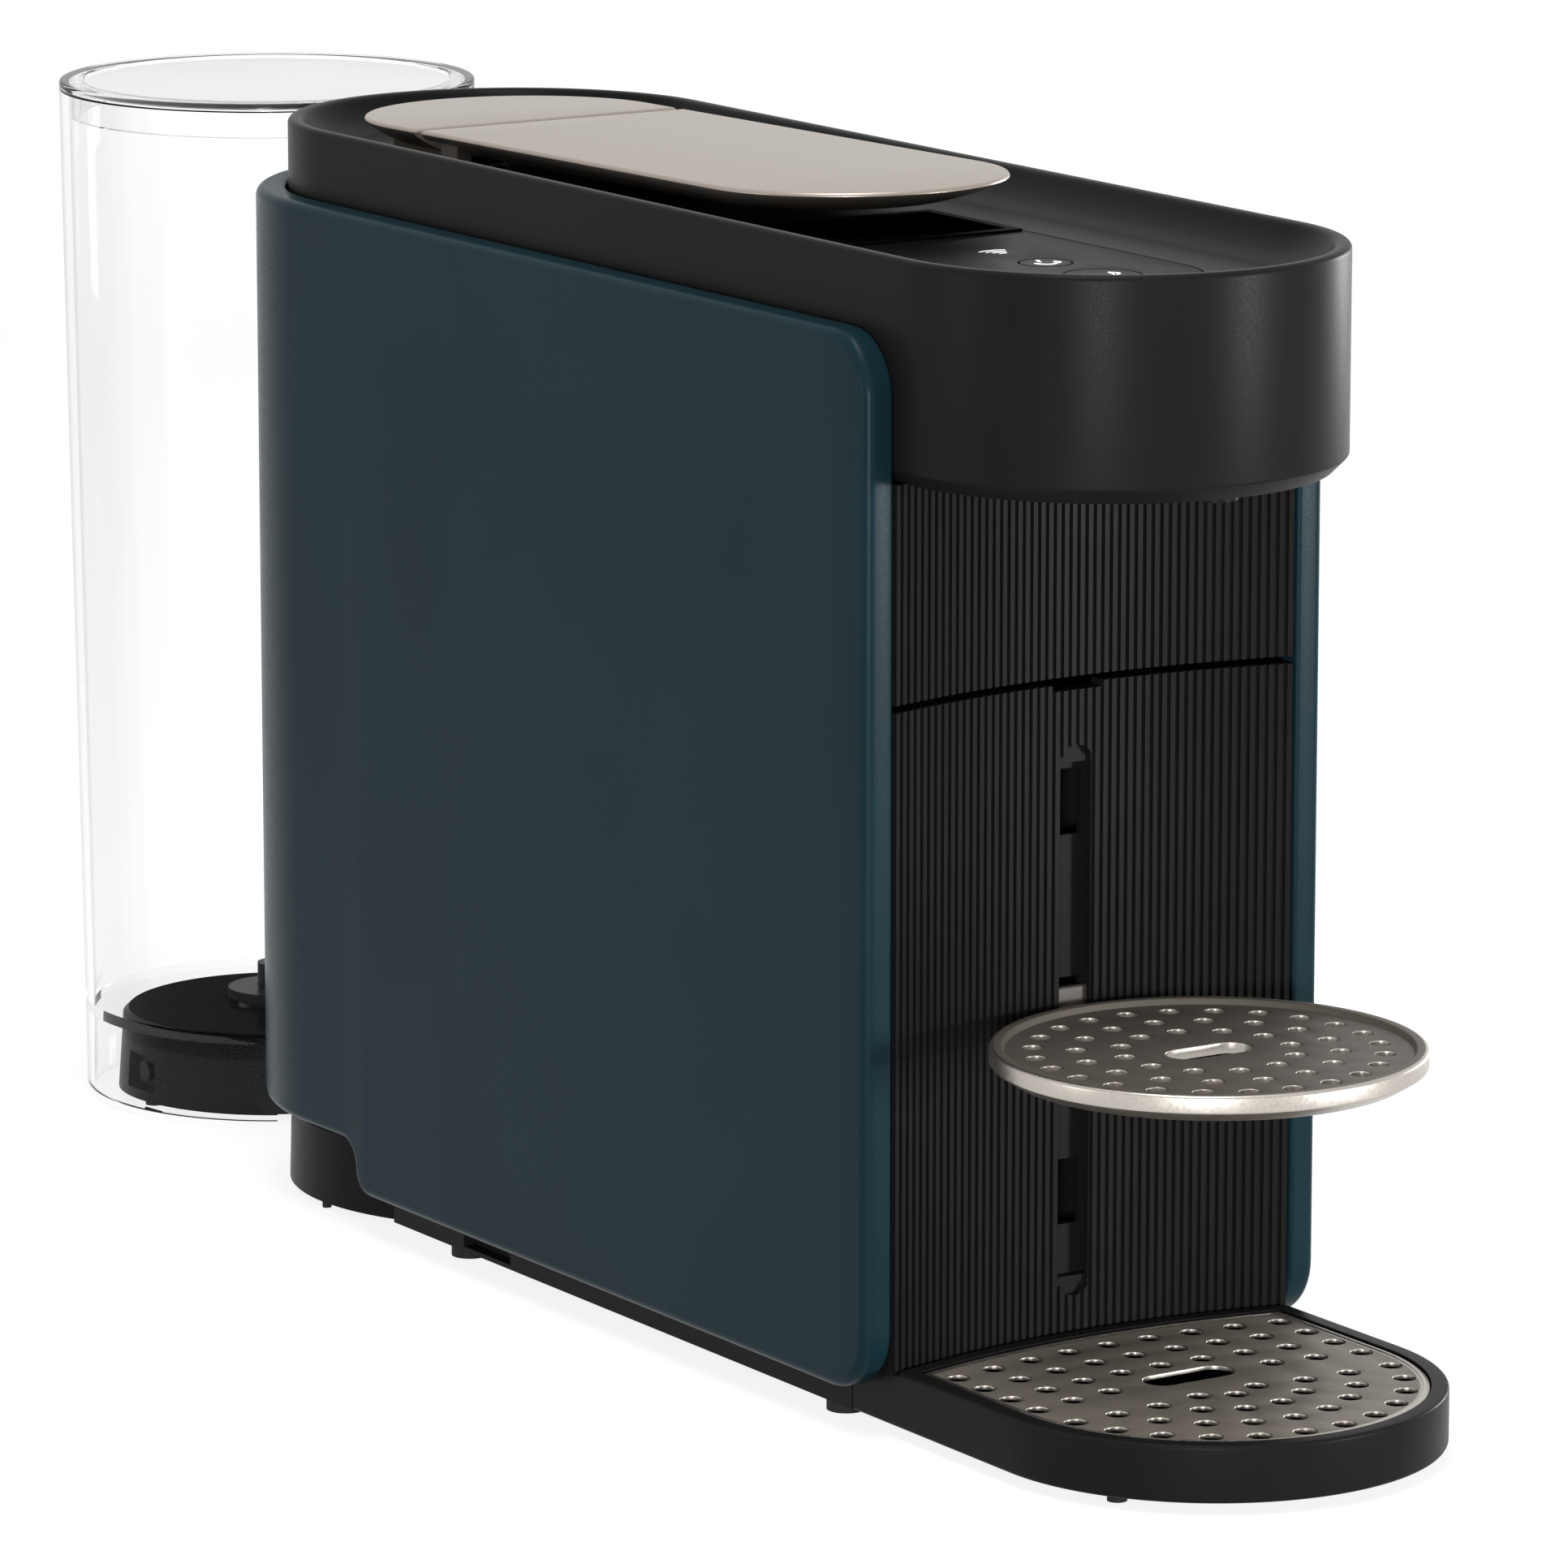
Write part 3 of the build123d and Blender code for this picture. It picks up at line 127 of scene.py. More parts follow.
class BodySizes(bpy.types.PropertyGroup):
    """Sizes of the shell and the head."""
    shell_wall: size("Shell wall", "Thickness of the shell", 6.5)
    shell_corner: size("Shell corner", "Radius of the shell's front corners, seen from the side", 13)
    shell_edge: size("Shell edge", "Rounding of the shell's outer edge", 2.2)
    shell_inner_edge: size("Shell inner edge", "Rounding of the shell's inner edge", 1.0)
    shell_skin: size("Shell skin", "Thickness of the shell where its inside is hollowed", 2.8)
    shell_lip: size("Shell lip", "Width of the full wall round that hollow", 5.0)
    rear_lift: size("Rear lift", "How much higher the shell's rear edge lies", 10.9)
    rear_step_y: size("Rear step", "Where the shell's lower edge steps up", 55.65)
    head_wall: size("Head wall", "Thickness of the head's side wall", 3.5)
    head_chamfer: size("Head chamfer", "Chamfer under the head", 3)
    chamfer_soft: size("Chamfer softening", "Where the chamfer's upper edge starts to round", 0.25)
    chamfer_rise: size("Chamfer rise", "Where that rounding ends on the wall", 0.4)
    well_gap: size("Well gap", "Gap beside the lever in its well", 0.6)
    well_front: size("Well front", "How far ahead of the pivot the lever's well starts", 8.1)
    rim_width: size("Rim width", "Width of the rim round the dish", 3)
    rim_edge: size("Rim edge", "Rounding of the rim", 1.2)
    dish_run: size("Dish run", "How far the dish's slope reaches inwards", 11)
    dish_depth: size("Dish depth", "Depth of the dish under the rim", 7)
    deck: size("Deck", "Thickness of the dish floor", 2.5)


class PanelSizes(bpy.types.PropertyGroup):
    """Sizes of the control panel and its buttons."""
    round_y: size("Front centre", "Centre of the panel's half-round front", -141)
    corner: size("Rear corner", "Radius of the panel's rear corners", 4)
    seam: size("Seam", "Gap between the panel and the dish floor", 0.2)
    edge: size("Edge", "Rounding of the panel's edge", 0.25)
    hole_edge: size("Hole edge", "Rounding round each button", 0.2)
    small_radius: size("Small button", "Radius of the small button's hole", 5.5)
    large_radius: size("Large button", "Radius of the large button's hole", 8)
    button_gap: size("Button gap", "Gap round each button", 0.3)
    button_dip: size("Button dip", "How far each button's top is hollowed", 0.12)
    button_depth: size("Button depth", "How far each button reaches below the panel", 1.5)
    slot_half: size("Slot half", "Half width of the capsule slot", 18.5)
    slot_wall: size("Slot wall", "Wall of the chute before and behind the slot", 2.3)
    slot_margin: size("Slot margin", "Panel's gap round the capsule slot", 1.15)


class MarkSizes(bpy.types.PropertyGroup):
    """Sizes of the lit marks."""
    width: size("Width", "Stroke width of the marks", 0.38)
    lift: size("Lift", "How far the marks stand proud of what carries them", 0.03)
    glow: size("Glow", "How far the marks' glow reaches", 6)
    fan: size("Fan", "Radius of the smallest arc at the light", 1.7)
    fan_step: size("Fan step", "Distance from one arc to the next", 1.5)
    fan_drop: size("Fan drop", "How far the arcs' centre lies ahead of the light", 3.6)
    fan_spread: FloatProperty(name="Fan spread", description="Half the angle of each arc",
                              default=radians(30), subtype="ANGLE")
    fan_arcs: IntProperty(name="Arcs", description="Number of arcs at the light", default=4)
    small_half: size("Small cup", "Half width of the small cup", 2.3)
    small_depth: size("Small cup's depth", "Depth of the small cup", 2.8)
    small_drop: size("Small cup's place", "How far the small cup lies ahead of its button's middle", 1)
    large_half: size("Large cup", "Half width of the large cup", 3)
    large_depth: size("Large cup's depth", "Depth of the large cup", 4.6)
    steam_sway: size("Steam sway", "How far the steam sways to each side", 0.4)
    steam_place: size("Steam place", "How far the steam's middle lies behind the button's", 2.4)
    steam_half: size("Steam", "Half the steam's length", 1)


class LidSizes(bpy.types.PropertyGroup):
    """Sizes of the lever and the cover behind it."""
    nose_y: size("Nose centre", "Centre of the lever's half-round nose", -53.5)
    rear_y: size("Rear centre", "Centre of the rear cover's half-round end", 75)
    pivot_y: size("Pivot", "Where the lever turns", 53)
    top: size("Top", "Height of the lid at its pivot", 236.6)
    slope: FloatProperty(name="Slope", description="How steeply the lid rises to the front",
                         default=radians(0.85), subtype="ANGLE")
    edge: size("Edge", "Height of the lid's upright edge", 0.8)
    edge_radius: size("Edge radius", "Rounding of the lid's upper edge", 0.75)
    thickness: size("Thickness", "Thickness of the lid", 5)
    skin: size("Skin", "Thickness of the lever over its hollow", 2.2)
    bevel: size("Bevel", "How far the lid's belly draws in at its sides", 7)
    nose_bevel: size("Nose bevel", "How far the lid's belly draws in at its nose", 13)
    rim: size("Rim", "Width of the lever's lower rim", 2)
    belly: FloatProperty(name="Belly", description="Power that bulges the lid's underside", default=1.35)
    ear_front: size("Ear room", "How far ahead of the pivot the lever's rim ends", 3.6)


class CupSizes(bpy.types.PropertyGroup):
    """Sizes of the cup support."""
    rise: size("Rise", "Height of the plate's top over the shoe's lower end", 15.5)
    wall: size("Wall", "Height of the plate's upright edge", 3.5)
    bevel: size("Bevel", "Height of the bevel under the edge", 2.2)
    bevel_run: size("Bevel run", "How far that bevel draws in", 3.5)
    rim: size("Rim", "Width of the plate's rim", 2.4)
    edge: size("Edge", "Rounding of the rim", 0.8)
    soft: size("Softening", "Rounding of the plate's lesser edges", 0.3)
    recess: size("Recess", "Depth of the plate's floor under the rim", 1.2)
    recess_run: size("Recess run", "Slope of the recess' wall", 0.6)
    floor: size("Floor", "Thickness of the pierced floor", 2.2)
    skirt: size("Skirt", "Width of the rim under the floor", 3.5)
    hole: size("Hole radius", "Radius of the holes", 2.1)
    hole_edge: size("Hole edge", "Rounding of the holes", 0.18)
    slot_length: size("Slot length", "Length of the middle slot", 19)
    slot_width: size("Slot width", "Width of the middle slot", 8.5)
    neck: size("Neck", "Height of the neck", 4)
    neck_half: size("Neck half", "Half width of the neck", 3.5)
    neck_root: size("Neck root", "How far the neck reaches under the plate's floor", 1.5)
    neck_edge: size("Neck edge", "Chamfer of the neck", 0.5)
    shoe_half: size("Shoe half", "Half width of the shoe in the track", 5.3)
    shoe_depth: size("Shoe depth", "Depth of the shoe", 2)
    shoe_edge: size("Shoe edge", "Chamfer of the shoe", 0.3)


class DripSizes(bpy.types.PropertyGroup):
    """Sizes of the drip base and its grid."""
    round_y: size("Front centre", "Centre of the base's half-round front", -182.5)
    rim_top: size("Rim top", "Height of the base's rim", 13.8)
    rim: size("Rim", "Width of the rim", 3.5)
    rim_edge: size("Rim edge", "Rounding of the rim", 0.75)
    foot_edge: size("Foot edge", "Rounding of the base's lower edge", 0.8)
    ledge: size("Ledge", "Width of the ledge under the grid", 3)
    floor: size("Floor", "Thickness of the tray's floor", 2)
    panel_gap: size("Panel gap", "Gap between the grid's seat and the ribbed panel", 1.5)
    grid_setback: size("Grid setback", "Black bar between the panel's gap and the grid's seat", 3)
    grid_gap: size("Grid gap", "Gap round the grid", 0.4)
    grid_sheet: size("Grid sheet", "Thickness of the grid where it is pierced", 0.85)
    grid_skirt: size("Grid skirt", "Width of the grid's thicker border", 1.9)
    bead_width: size("Bead width", "Width of the bead along the grid's edge", 1.8)
    bead_height: size("Bead height", "Height of that bead", 0.35)
    hole: size("Hole radius", "Radius of the holes", 2.3)
    hole_edge: size("Hole edge", "Rounding of the holes", 0.22)
    pitch_x: size("Pitch across", "Distance of the holes across the grid", 9.8)
    pitch_y: size("Pitch along", "Distance of the rows of holes", 9.2)
    first_row: size("First row", "Distance of the first row from the panel", 12.1)
    rows: IntProperty(name="Rows", description="Rows of holes ahead of the slot's row", default=3)
    columns: IntProperty(name="Columns", description="Holes in each row", default=9)
    rings: IntProperty(name="Rings", description="Half rings of holes round the front", default=4)
    ring_holes: IntProperty(name="Ring holes", description="How many holes each half ring adds", default=3)
    slot_length: size("Slot length", "Length of the middle slot", 20.5)
    slot_width: size("Slot width", "Width of the middle slot", 8)
    tongue: size("Tongue", "Thickness of the tongue that carries the capsule bin", 4)
    tongue_edge: size("Tongue edge", "Chamfer of the tongue", 0.3)
    chassis_gap: size("Chassis gap", "Gap between the base and the chassis", 0.5)
    shelf_gap: size("Shelf gap", "Gap under the ribbed panel", 0.2)
    panel_sag: size("Panel sag", "How far the ribbed panel hollows", 6.8)


class TankSizes(bpy.types.PropertyGroup):
    """Sizes of the water tank, its lid and its swivelling arm."""
    foot_radius: size("Foot radius", "Radius of the tank at its foot", 43.7)
    wall: size("Wall", "Thickness of the tank's wall", 2.2)
    lip: size("Lip", "Rounding of the tank's lower edge", 0.8)
    floor: size("Floor", "Thickness of the tank's floor", 2.5)
    notch: size("Notch", "Half width of the gap for the arm in the tank's skirt", 22)
    valve: size("Valve", "Radius of the valve's hole", 9)
    lid_edge: size("Lid edge", "Rounding of the lid's edge", 0.65)
    lid_soft: size("Lid softening", "Rounding of the lid's inner edge", 0.25)
    lid_margin: size("Lid margin", "Width of the lid's clear rim", 5.5)
    lid_dish: size("Lid dish", "Depth of the lid's white face under its rim", 0.8)
    plug_wall: size("Plug wall", "Thickness of the lid's plug", 1.8)
    plug_gap: size("Plug gap", "Gap between the plug and the tank", 0.6)


class Finishes(bpy.types.PropertyGroup):
    """Colours of the finishes."""
    teal: tint("Shell", "Moulded shell", (0.0065, 0.0225, 0.030))
    black: tint("Black", "Moulded black plastic", (0.0105, 0.0103, 0.0102))
    panel: tint("Panel", "Control panel and buttons", (0.0042, 0.0042, 0.0044))
    champagne: tint("Champagne", "Painted lid", (0.345, 0.30, 0.258))
    # cup and cup_floor are lit and shaded copies of one metal: the ring's lighter tone is a painted highlight
    # on the walls, the hole walls and the grid's rims, the floor's darker tone painted shade on the top faces
    cup: tint("Cup metal", "Cup support's ring", (0.46, 0.425, 0.385))
    satin: tint("Satin metal", "Grid's flat top", (0.257, 0.226, 0.19))
    cup_floor: tint("Cup floor", "Cup support's flat top", (0.1285, 0.113, 0.095))
    # neck is the cup floor's tone darkened further: painted shade under the plate
    neck: tint("Neck", "Cup support's neck and shoe", (0.07196, 0.06328, 0.0532))
    rubber: tint("Rubber", "Feet and bushes", (0.012, 0.012, 0.012))
    # Painted shade: near-black put inside the capsule slot, where the lever's nose shades it
    throat_shade: tint("Throat", "Dark inside of the capsule slot", (0.0016, 0.0016, 0.0016))
    zinc: tint("Zinc", "Lever's cast frame", (0.30, 0.27, 0.24))
    steel: tint("Steel", "Pins and screws", (0.5, 0.5, 0.5))
    hose: tint("Hose", "Silicone hoses", (0.5, 0.5, 0.48))
    alloy: tint("Alloy", "Heater", (0.45, 0.45, 0.45))
    pump: tint("Pump", "Pump's body", (0.06, 0.06, 0.065))
    # Tone painted along the clear plastic's outline: painted shade, not the plastic's own colour
    clear: tint("Clear", "Water tank's plastic along its outline", (0.12, 0.13, 0.14))
    white: tint("White", "Tank lid's face", (0.85, 0.85, 0.85))
    light: tint("Light", "Lit marks", (1.0, 1.0, 1.0))


class StageSettings(bpy.types.PropertyGroup):
    """Camera, lights and background."""
    eye: FloatVectorProperty(name="Eye", description="Place of the camera", subtype="TRANSLATION",
                             default=(-1.01412, -1.58814, 0.49093))
    yaw: FloatProperty(name="Yaw", description="Camera's turn to the right of +Y", subtype="ANGLE",
                       default=0.576913)
    pitch: FloatProperty(name="Pitch", description="Camera's tilt", subtype="ANGLE", default=-0.203562)
    lens: FloatProperty(name="Lens", description="Focal length for a sensor 36 mm wide", default=209.17,
                        unit="CAMERA")
    sky: FloatProperty(name="Sky", description="Strength of the light from all round", default=0.345)
    floor_glow: FloatProperty(name="Floor glow", description="How far the floor is white by itself",
                              default=0.85)
    floor_reach: size("Floor reach", "Half the floor's width", 8000)
    floor_drop: size("Floor drop", "How far the floor lies below the feet", 0.2)
    floor_tone: tint("Floor", "Floor's own colour", (0.28, 0.28, 0.28))
    fade_start: size("Fade start", "Where the floor starts to fade to white", 1300)
    fade_end: size("Fade end", "Where the floor is white", 2600)


def arc(centre, radius, start, end, steps=6):
    """Points of a circle's arc from one angle to another, as an array of pairs."""
    angle = np.linspace(start, end, steps + 1)
    return np.column_stack([centre[0] + radius * np.cos(angle), centre[1] + radius * np.sin(angle)])


def soften(start, corner, end, steps=6):
    """A corner rounded by the parabola (1-t)^2 start + 2t(1-t) corner + t^2 end."""
    t = np.linspace(0, 1, steps + 1)[:, None]
    return (1 - t)**2 * np.array(start) + 2 * t * (1 - t) * np.array(corner) + t**2 * np.array(end)


def quarter_round(radius, steps):
    """Pairs of r(1 - sin a) and r(1 - cos a) for an angle a from 0 to a quarter turn."""
    angle = np.linspace(0, pi / 2, steps + 1)
    return radius * (1 - np.column_stack([np.sin(angle), np.cos(angle)]))


def circle(x, y, radius, count=FULL_TURN):
    """A circle as a loop of points, anticlockwise."""
    return arc((x, y), radius, 0, 2 * pi, count)[:-1]


def stadium(half, front, rear, count=HALF_TURN):
    """A loop with straight sides along Y and a half circle about each of two centres."""
    return np.concatenate([arc((0, front), half, pi, 2 * pi, count), arc((0, rear), half, 0, pi, count)])


def rectangle(x_low, x_high, y_low, y_high):
    """A loop of four corners, anticlockwise."""
    return np.array([(x_low, y_low), (x_high, y_low), (x_high, y_high), (x_low, y_high)])


def round_holes(places, radius):
    """Circles about each place, as loops that grow with a margin."""
    return [lambda margin, p=place: circle(*p, radius + margin, HOLE_TURN) for place in places]


def middle_slot(y, length, width):
    """A slot across the machine's middle with half-round ends, as a loop that grows with a margin."""
    reach = (length - width) / 2

    def loop(margin):
        half = width / 2 + margin
        return np.concatenate([arc((reach, y), half, -pi / 2, pi / 2, SLOT_END),
                               arc((-reach, y), half, pi / 2, 3 * pi / 2, SLOT_END)])

    return loop


def at(loop, height):
    """A loop raised to a height, which may differ from point to point."""
    return np.column_stack([loop, np.broadcast_to(height, len(loop))])


def high_x(box):
    """The right-hand reach of a node's box."""
    return box[1].x


def middle_y(box):
    """The y halfway along a node's box."""
    return (box[0].y + box[1].y) / 2


class Patchwork:
    """Patches of surface that are welded into one mesh."""

    def __init__(self):
        self.points, self.faces, self.finishes, self.count = [], [], [], 0

    def add(self, points, faces, finish=0):
        """Takes points and faces, which count from the patch's own first point."""
        self.points.append(points)
        self.faces += (np.asarray(faces) + self.count).tolist()
        self.finishes += [finish] * len(faces)
        self.count += len(points)

    def skin(self, rows, closed=True, finish=0):
        """Quads between neighbouring rows of a grid; closed joins each row's last point to its first."""
        rows = np.asarray(rows)
        index = np.arange(rows.shape[0] * rows.shape[1]).reshape(rows.shape[:2])
        if closed:
            index = np.column_stack([index, index[:, :1]])
        quads = np.stack([index[:-1, :-1], index[:-1, 1:], index[1:, 1:], index[1:, :-1]], axis=-1)
        self.add(rows.reshape(-1, 3), quads.reshape(-1, 4), finish)

    def sheet(self, loops, height, finish=0):
        """Triangles inside the first loop and outside the others: each is kept where a ray from its centre
        crosses the loops an odd number of times. Height is a number or a function of y."""
        start = np.concatenate(loops)
        end = np.concatenate([np.roll(loop, -1, axis=0) for loop in loops])
        counts = np.array([len(loop) for loop in loops])
        stops = np.cumsum(counts)
        following = np.arange(1, len(start) + 1)
        following[stops - 1] = stops - counts
        edges = np.column_stack([np.arange(len(start)), following])
        found = delaunay_2d_cdt(list(map(Vector, start.tolist())), edges.tolist(), [], WHOLE_HULL, SHEET_WELD)
        points = np.array([tuple(point) for point in found[0]])
        triangles = np.array(found[2])
        centre = points[triangles].mean(axis=1)[:, None]
        spans = (start[:, 1] > centre[..., 1]) != (end[:, 1] > centre[..., 1])
        rise = np.where(start[:, 1] == end[:, 1], 1.0, end[:, 1] - start[:, 1])
        crossing = start[:, 0] + (centre[..., 1] - start[:, 1]) / rise * (end[:, 0] - start[:, 0])
        inside = np.count_nonzero(spans & (centre[..., 0] < crossing), axis=1) % 2 == 1
        heights = height(points[:, 1]) if callable(height) else height
        self.add(at(points, heights), triangles[inside], finish)

    def revolve(self, profile, y, count=FULL_TURN, finish=0):
        """A profile of (radius, height) pairs turned once about an upright axis on the machine's middle."""
        self.skin([at(circle(0, y, radius, count), height) for radius, height in profile], finish=finish)

    def pierce(self, holes, low, high, rim, finish=0):
        """Walls of holes, each a loop that grows with a margin. The upper edge is a quarter round: at
        angle a the margin is r(1 - sin a) and the drop is r(1 - cos a)."""
        for hole in holes:
            rows = [at(hole(margin), high - drop) for margin, drop in quarter_round(rim, 4)]
            self.skin(rows + [at(hole(0), low)], finish=finish)

    def plate(self, outline, holes, low, high, edge, rim):
        """Flat plate whose outline and holes are loops that grow with a margin. Each upper edge is a
        quarter round, the outline's drawn in and the holes' widened."""
        self.pierce([lambda margin: outline(-margin)], low, high, edge)
        self.pierce(holes, low, high, rim)
        self.sheet([outline(-edge)] + [hole(rim) for hole in holes], high)
        self.sheet([outline(0)] + [hole(0) for hole in holes], low)

    def box(self, x, y, z, edge, finish=0):
        """A block with chamfered edges, from its three (low, high) spans."""
        loops = [rectangle(x[0] + e, x[1] - e, y[0] + e, y[1] - e) for e in (edge, 0, 0, edge)]
        heights = (z[0], z[0] + edge, z[1] - edge, z[1])
        self.skin([at(loop, height) for loop, height in zip(loops, heights)], finish=finish)
        self.sheet([loops[0]], z[0], finish)
        self.sheet([loops[-1]], z[1], finish)

    def build(self, name, body, slot, replaces=(), finishes=()):
        """Welds the patches, turns every face outwards and rides the piece on a body. It has its slot's
        finish, unless others are given."""
        mesh = bpy.data.meshes.new(name)
        mesh.from_pydata(np.concatenate(self.points), [], self.faces)
        mesh.polygons.foreach_set("material_index", self.finishes)
        work = bmesh.new()
        work.from_mesh(mesh)
        bmesh.ops.remove_doubles(work, verts=work.verts, dist=WELD)
        bmesh.ops.dissolve_degenerate(work, dist=WELD / 10, edges=work.edges)
        bmesh.ops.recalc_face_normals(work, faces=work.faces)
        work.to_mesh(mesh)
        work.free()
        mesh.shade_smooth()
        mesh.set_sharp_from_angle(angle=SHARP)
        for finish in finishes or [finish_for(slot)]:
            mesh.materials.append(finish)
        piece = bpy.data.objects.new(name, mesh)
        bpy.context.scene.collection.objects.link(piece)
        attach(piece, body)
        if replaces:
            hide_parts(*replaces)


def wire(tree, target, inputs):
    """Sets a node's inputs, each to a value or to another node's output."""
    for key, value in inputs.items():
        if isinstance(value, bpy.types.NodeSocket):
            tree.links.new(value, target.inputs[key])
        else:
            target.inputs[key].default_value = value


def node(tree, kind, output, inputs, operation=None):
    """Adds a node, sets its inputs and gives one of its outputs."""
    made = tree.nodes.new(kind)
    if operation:
        made.operation = operation
    wire(tree, made, inputs)
    return made.outputs[output]


def new_material(name):
    """A material with its node tree, principled shader and object coordinates. If the material is there
    already, the rest is None."""
    material = bpy.data.materials.get(name)
    if material:
        return material, None, None, None
    material = bpy.data.materials.new(name)
    material.use_nodes = True
    tree = material.node_tree
    place = tree.nodes.new("ShaderNodeTexCoord").outputs["Object"]
    return material, tree, tree.nodes["Principled BSDF"], place


def noise(tree, place, scale, detail=3.0, stretch=(1, 1, 1)):
    """Noise in the object's coordinates; scale is in waves per metre."""
    place = node(tree, "ShaderNodeMapping", "Vector", {"Vector": place, "Scale": stretch})
    return node(tree, "ShaderNodeTexNoise", "Fac", {"Vector": place, "Scale": scale, "Detail": detail})


def spread(tree, value, low, high, span=NOISE_SPAN):
    """A value's span spread between two levels."""
    return node(tree, "ShaderNodeMapRange", "Result", {
        "Value": value, "From Min": span[0], "From Max": span[1], "To Min": low, "To Max": high})


def shade_between(tree, value, colour, change):
    """A colour that a noise value makes a little darker or lighter."""
    ramp = tree.nodes.new("ShaderNodeValToRGB")
    for element, position, factor in zip(ramp.color_ramp.elements, NOISE_SPAN, (1 - change, 1 + change)):
        element.position = position
        element.color = [min(1.0, c * factor) for c in colour] + [1.0]
    tree.links.new(value, ramp.inputs["Fac"])
    return ramp.outputs["Color"]


def relief(tree, value, height):
    """The tilt of a surface with fine relief, whose height is in metres."""
    return node(tree, "ShaderNodeBump", "Normal", {"Height": value, "Distance": height, "Strength": 1.0})


def moulded(name, colour, rough, grain=2600.0, depth=0.012 * MM, change=0.07, gloss=0.3, uneven=0.05):
    """Moulded plastic: the fine spark-eroded grain of the mould and a faint cloudiness."""
    material, tree, shader, place = new_material(name)
    if tree:
        fine = noise(tree, place, grain)
        broad = noise(tree, place, CLOUDS, detail=2.0)
        wire(tree, shader, {
            "Base Color": shade_between(tree, broad, colour, change),
            "Roughness": spread(tree, fine, rough - uneven, rough + uneven),
            "Specular IOR Level": gloss,
            "Normal": relief(tree, fine, depth),
        })
    return material


def metal(name, colour, rough, grain=1500.0, depth=0.02 * MM, metallic=1.0, change=0.06, stretch=(1, 1, 1),
          gloss=0.5, uneven=0.06):
    """Metal or metallic paint: bright grains of slightly differing tone, roughness and tilt."""
    material, tree, shader, place = new_material(name)
    if tree:
        fine = noise(tree, place, grain, detail=4.0, stretch=stretch)
        flake = noise(tree, place, grain * FLAKES, detail=2.0, stretch=stretch)
        wire(tree, shader, {
            "Base Color": shade_between(tree, flake, colour, change),
            "Roughness": spread(tree, fine, rough - uneven, rough + uneven),
            "Metallic": metallic,
            "Specular IOR Level": gloss,
            "Normal": relief(tree, fine, depth),
        })
    return material


def inlay(name, colour):
    """Finely grained black of the control panel."""
    return moulded(name, colour, rough=0.34, grain=3200.0, depth=0.006 * MM, gloss=0.025)


def satin_metal(name, colour, rough, metallic=1.0, gloss=0.5):
    """Bead-blasted metal of the cup support and the grid."""
    return metal(name, colour, rough, grain=1300.0, depth=0.018 * MM, metallic=metallic, gloss=gloss)


def clear_plastic(name, colour, bend=1.12):
    """Clear moulded plastic with faint flow lines along its height, its colour painted shade: it greys where
    its wall is seen aslant and is painted dark along its outline, standing in for a thick wall's refraction."""
    material, tree, shader, place = new_material(name)
    if tree:
        flow = noise(tree, place, scale=60.0, detail=2.0, stretch=(1, 1, 0.15))
        ramp = tree.nodes.new("ShaderNodeValToRGB")
        for position, share in CLEAR_PAINTED_SHADE:
            ramp.color_ramp.elements.new(position).color = [1 - share * (1 - c) for c in colour] + [1.0]
        ramp.color_ramp.elements[0].color = WHITE
        ramp.color_ramp.elements[-1].color = (*colour, 1.0)
        # Painted shade: the colour darkens the more aslant the surface is seen
        wire(tree, ramp, {"Fac": node(tree, "ShaderNodeLayerWeight", "Facing", {"Blend": 0.5})})
        wire(tree, shader, {
            "Base Color": ramp.outputs["Color"],
            "Roughness": spread(tree, flow, 0.0, 0.02),
            "Transmission Weight": 1.0,
            "IOR": bend,
        })
    return material


def lit_mark(name, colour):
    """White light through the panel, a little uneven."""
    material, tree, shader, place = new_material(name)
    if tree:
        broad = noise(tree, place, scale=400.0, detail=1.0)
        wire(tree, shader, {
            "Base Color": (*colour, 1.0),
            "Emission Color": shade_between(tree, broad, colour, change=0.1),
            "Emission Strength": 1.0,
        })
    return material


def glowing(material, centres, reach, strength=0.05):
    """Adds a soft glow round each centre: strength (1 - distance / reach)^2."""
    tree = material.node_tree
    shader = tree.nodes["Principled BSDF"]
    if shader.inputs["Emission Strength"].is_linked:
        return
    place = next(made for made in tree.nodes if made.type == "TEX_COORD").outputs["Object"]
    total = 0.0
    for centre in centres:
        away = node(tree, "ShaderNodeVectorMath", "Value", {0: place, 1: centre}, "DISTANCE")
        near = spread(tree, away, 1.0, 0.0, (0.0, reach))
        fade = node(tree, "ShaderNodeMath", "Value", {0: near, 1: near}, "MULTIPLY")
        total = node(tree, "ShaderNodeMath", "Value", {0: fade, 1: strength, 2: total}, "MULTIPLY_ADD")
    wire(tree, shader, {"Emission Color": WHITE, "Emission Strength": total})


def circuit(name):
    """Green circuit board with a fine pattern of lighter tracks."""
    material, tree, shader, place = new_material(name)
    if tree:
        tracks = node(tree, "ShaderNodeTexBrick", "Color", {
            "Vector": place, "Scale": 160.0, "Color1": (0.01, 0.09, 0.03, 1),
            "Color2": (0.012, 0.11, 0.04, 1), "Mortar": (0.05, 0.2, 0.08, 1)})
        wire(tree, shader, {"Base Color": tracks, "Roughness": 0.35})
    return material


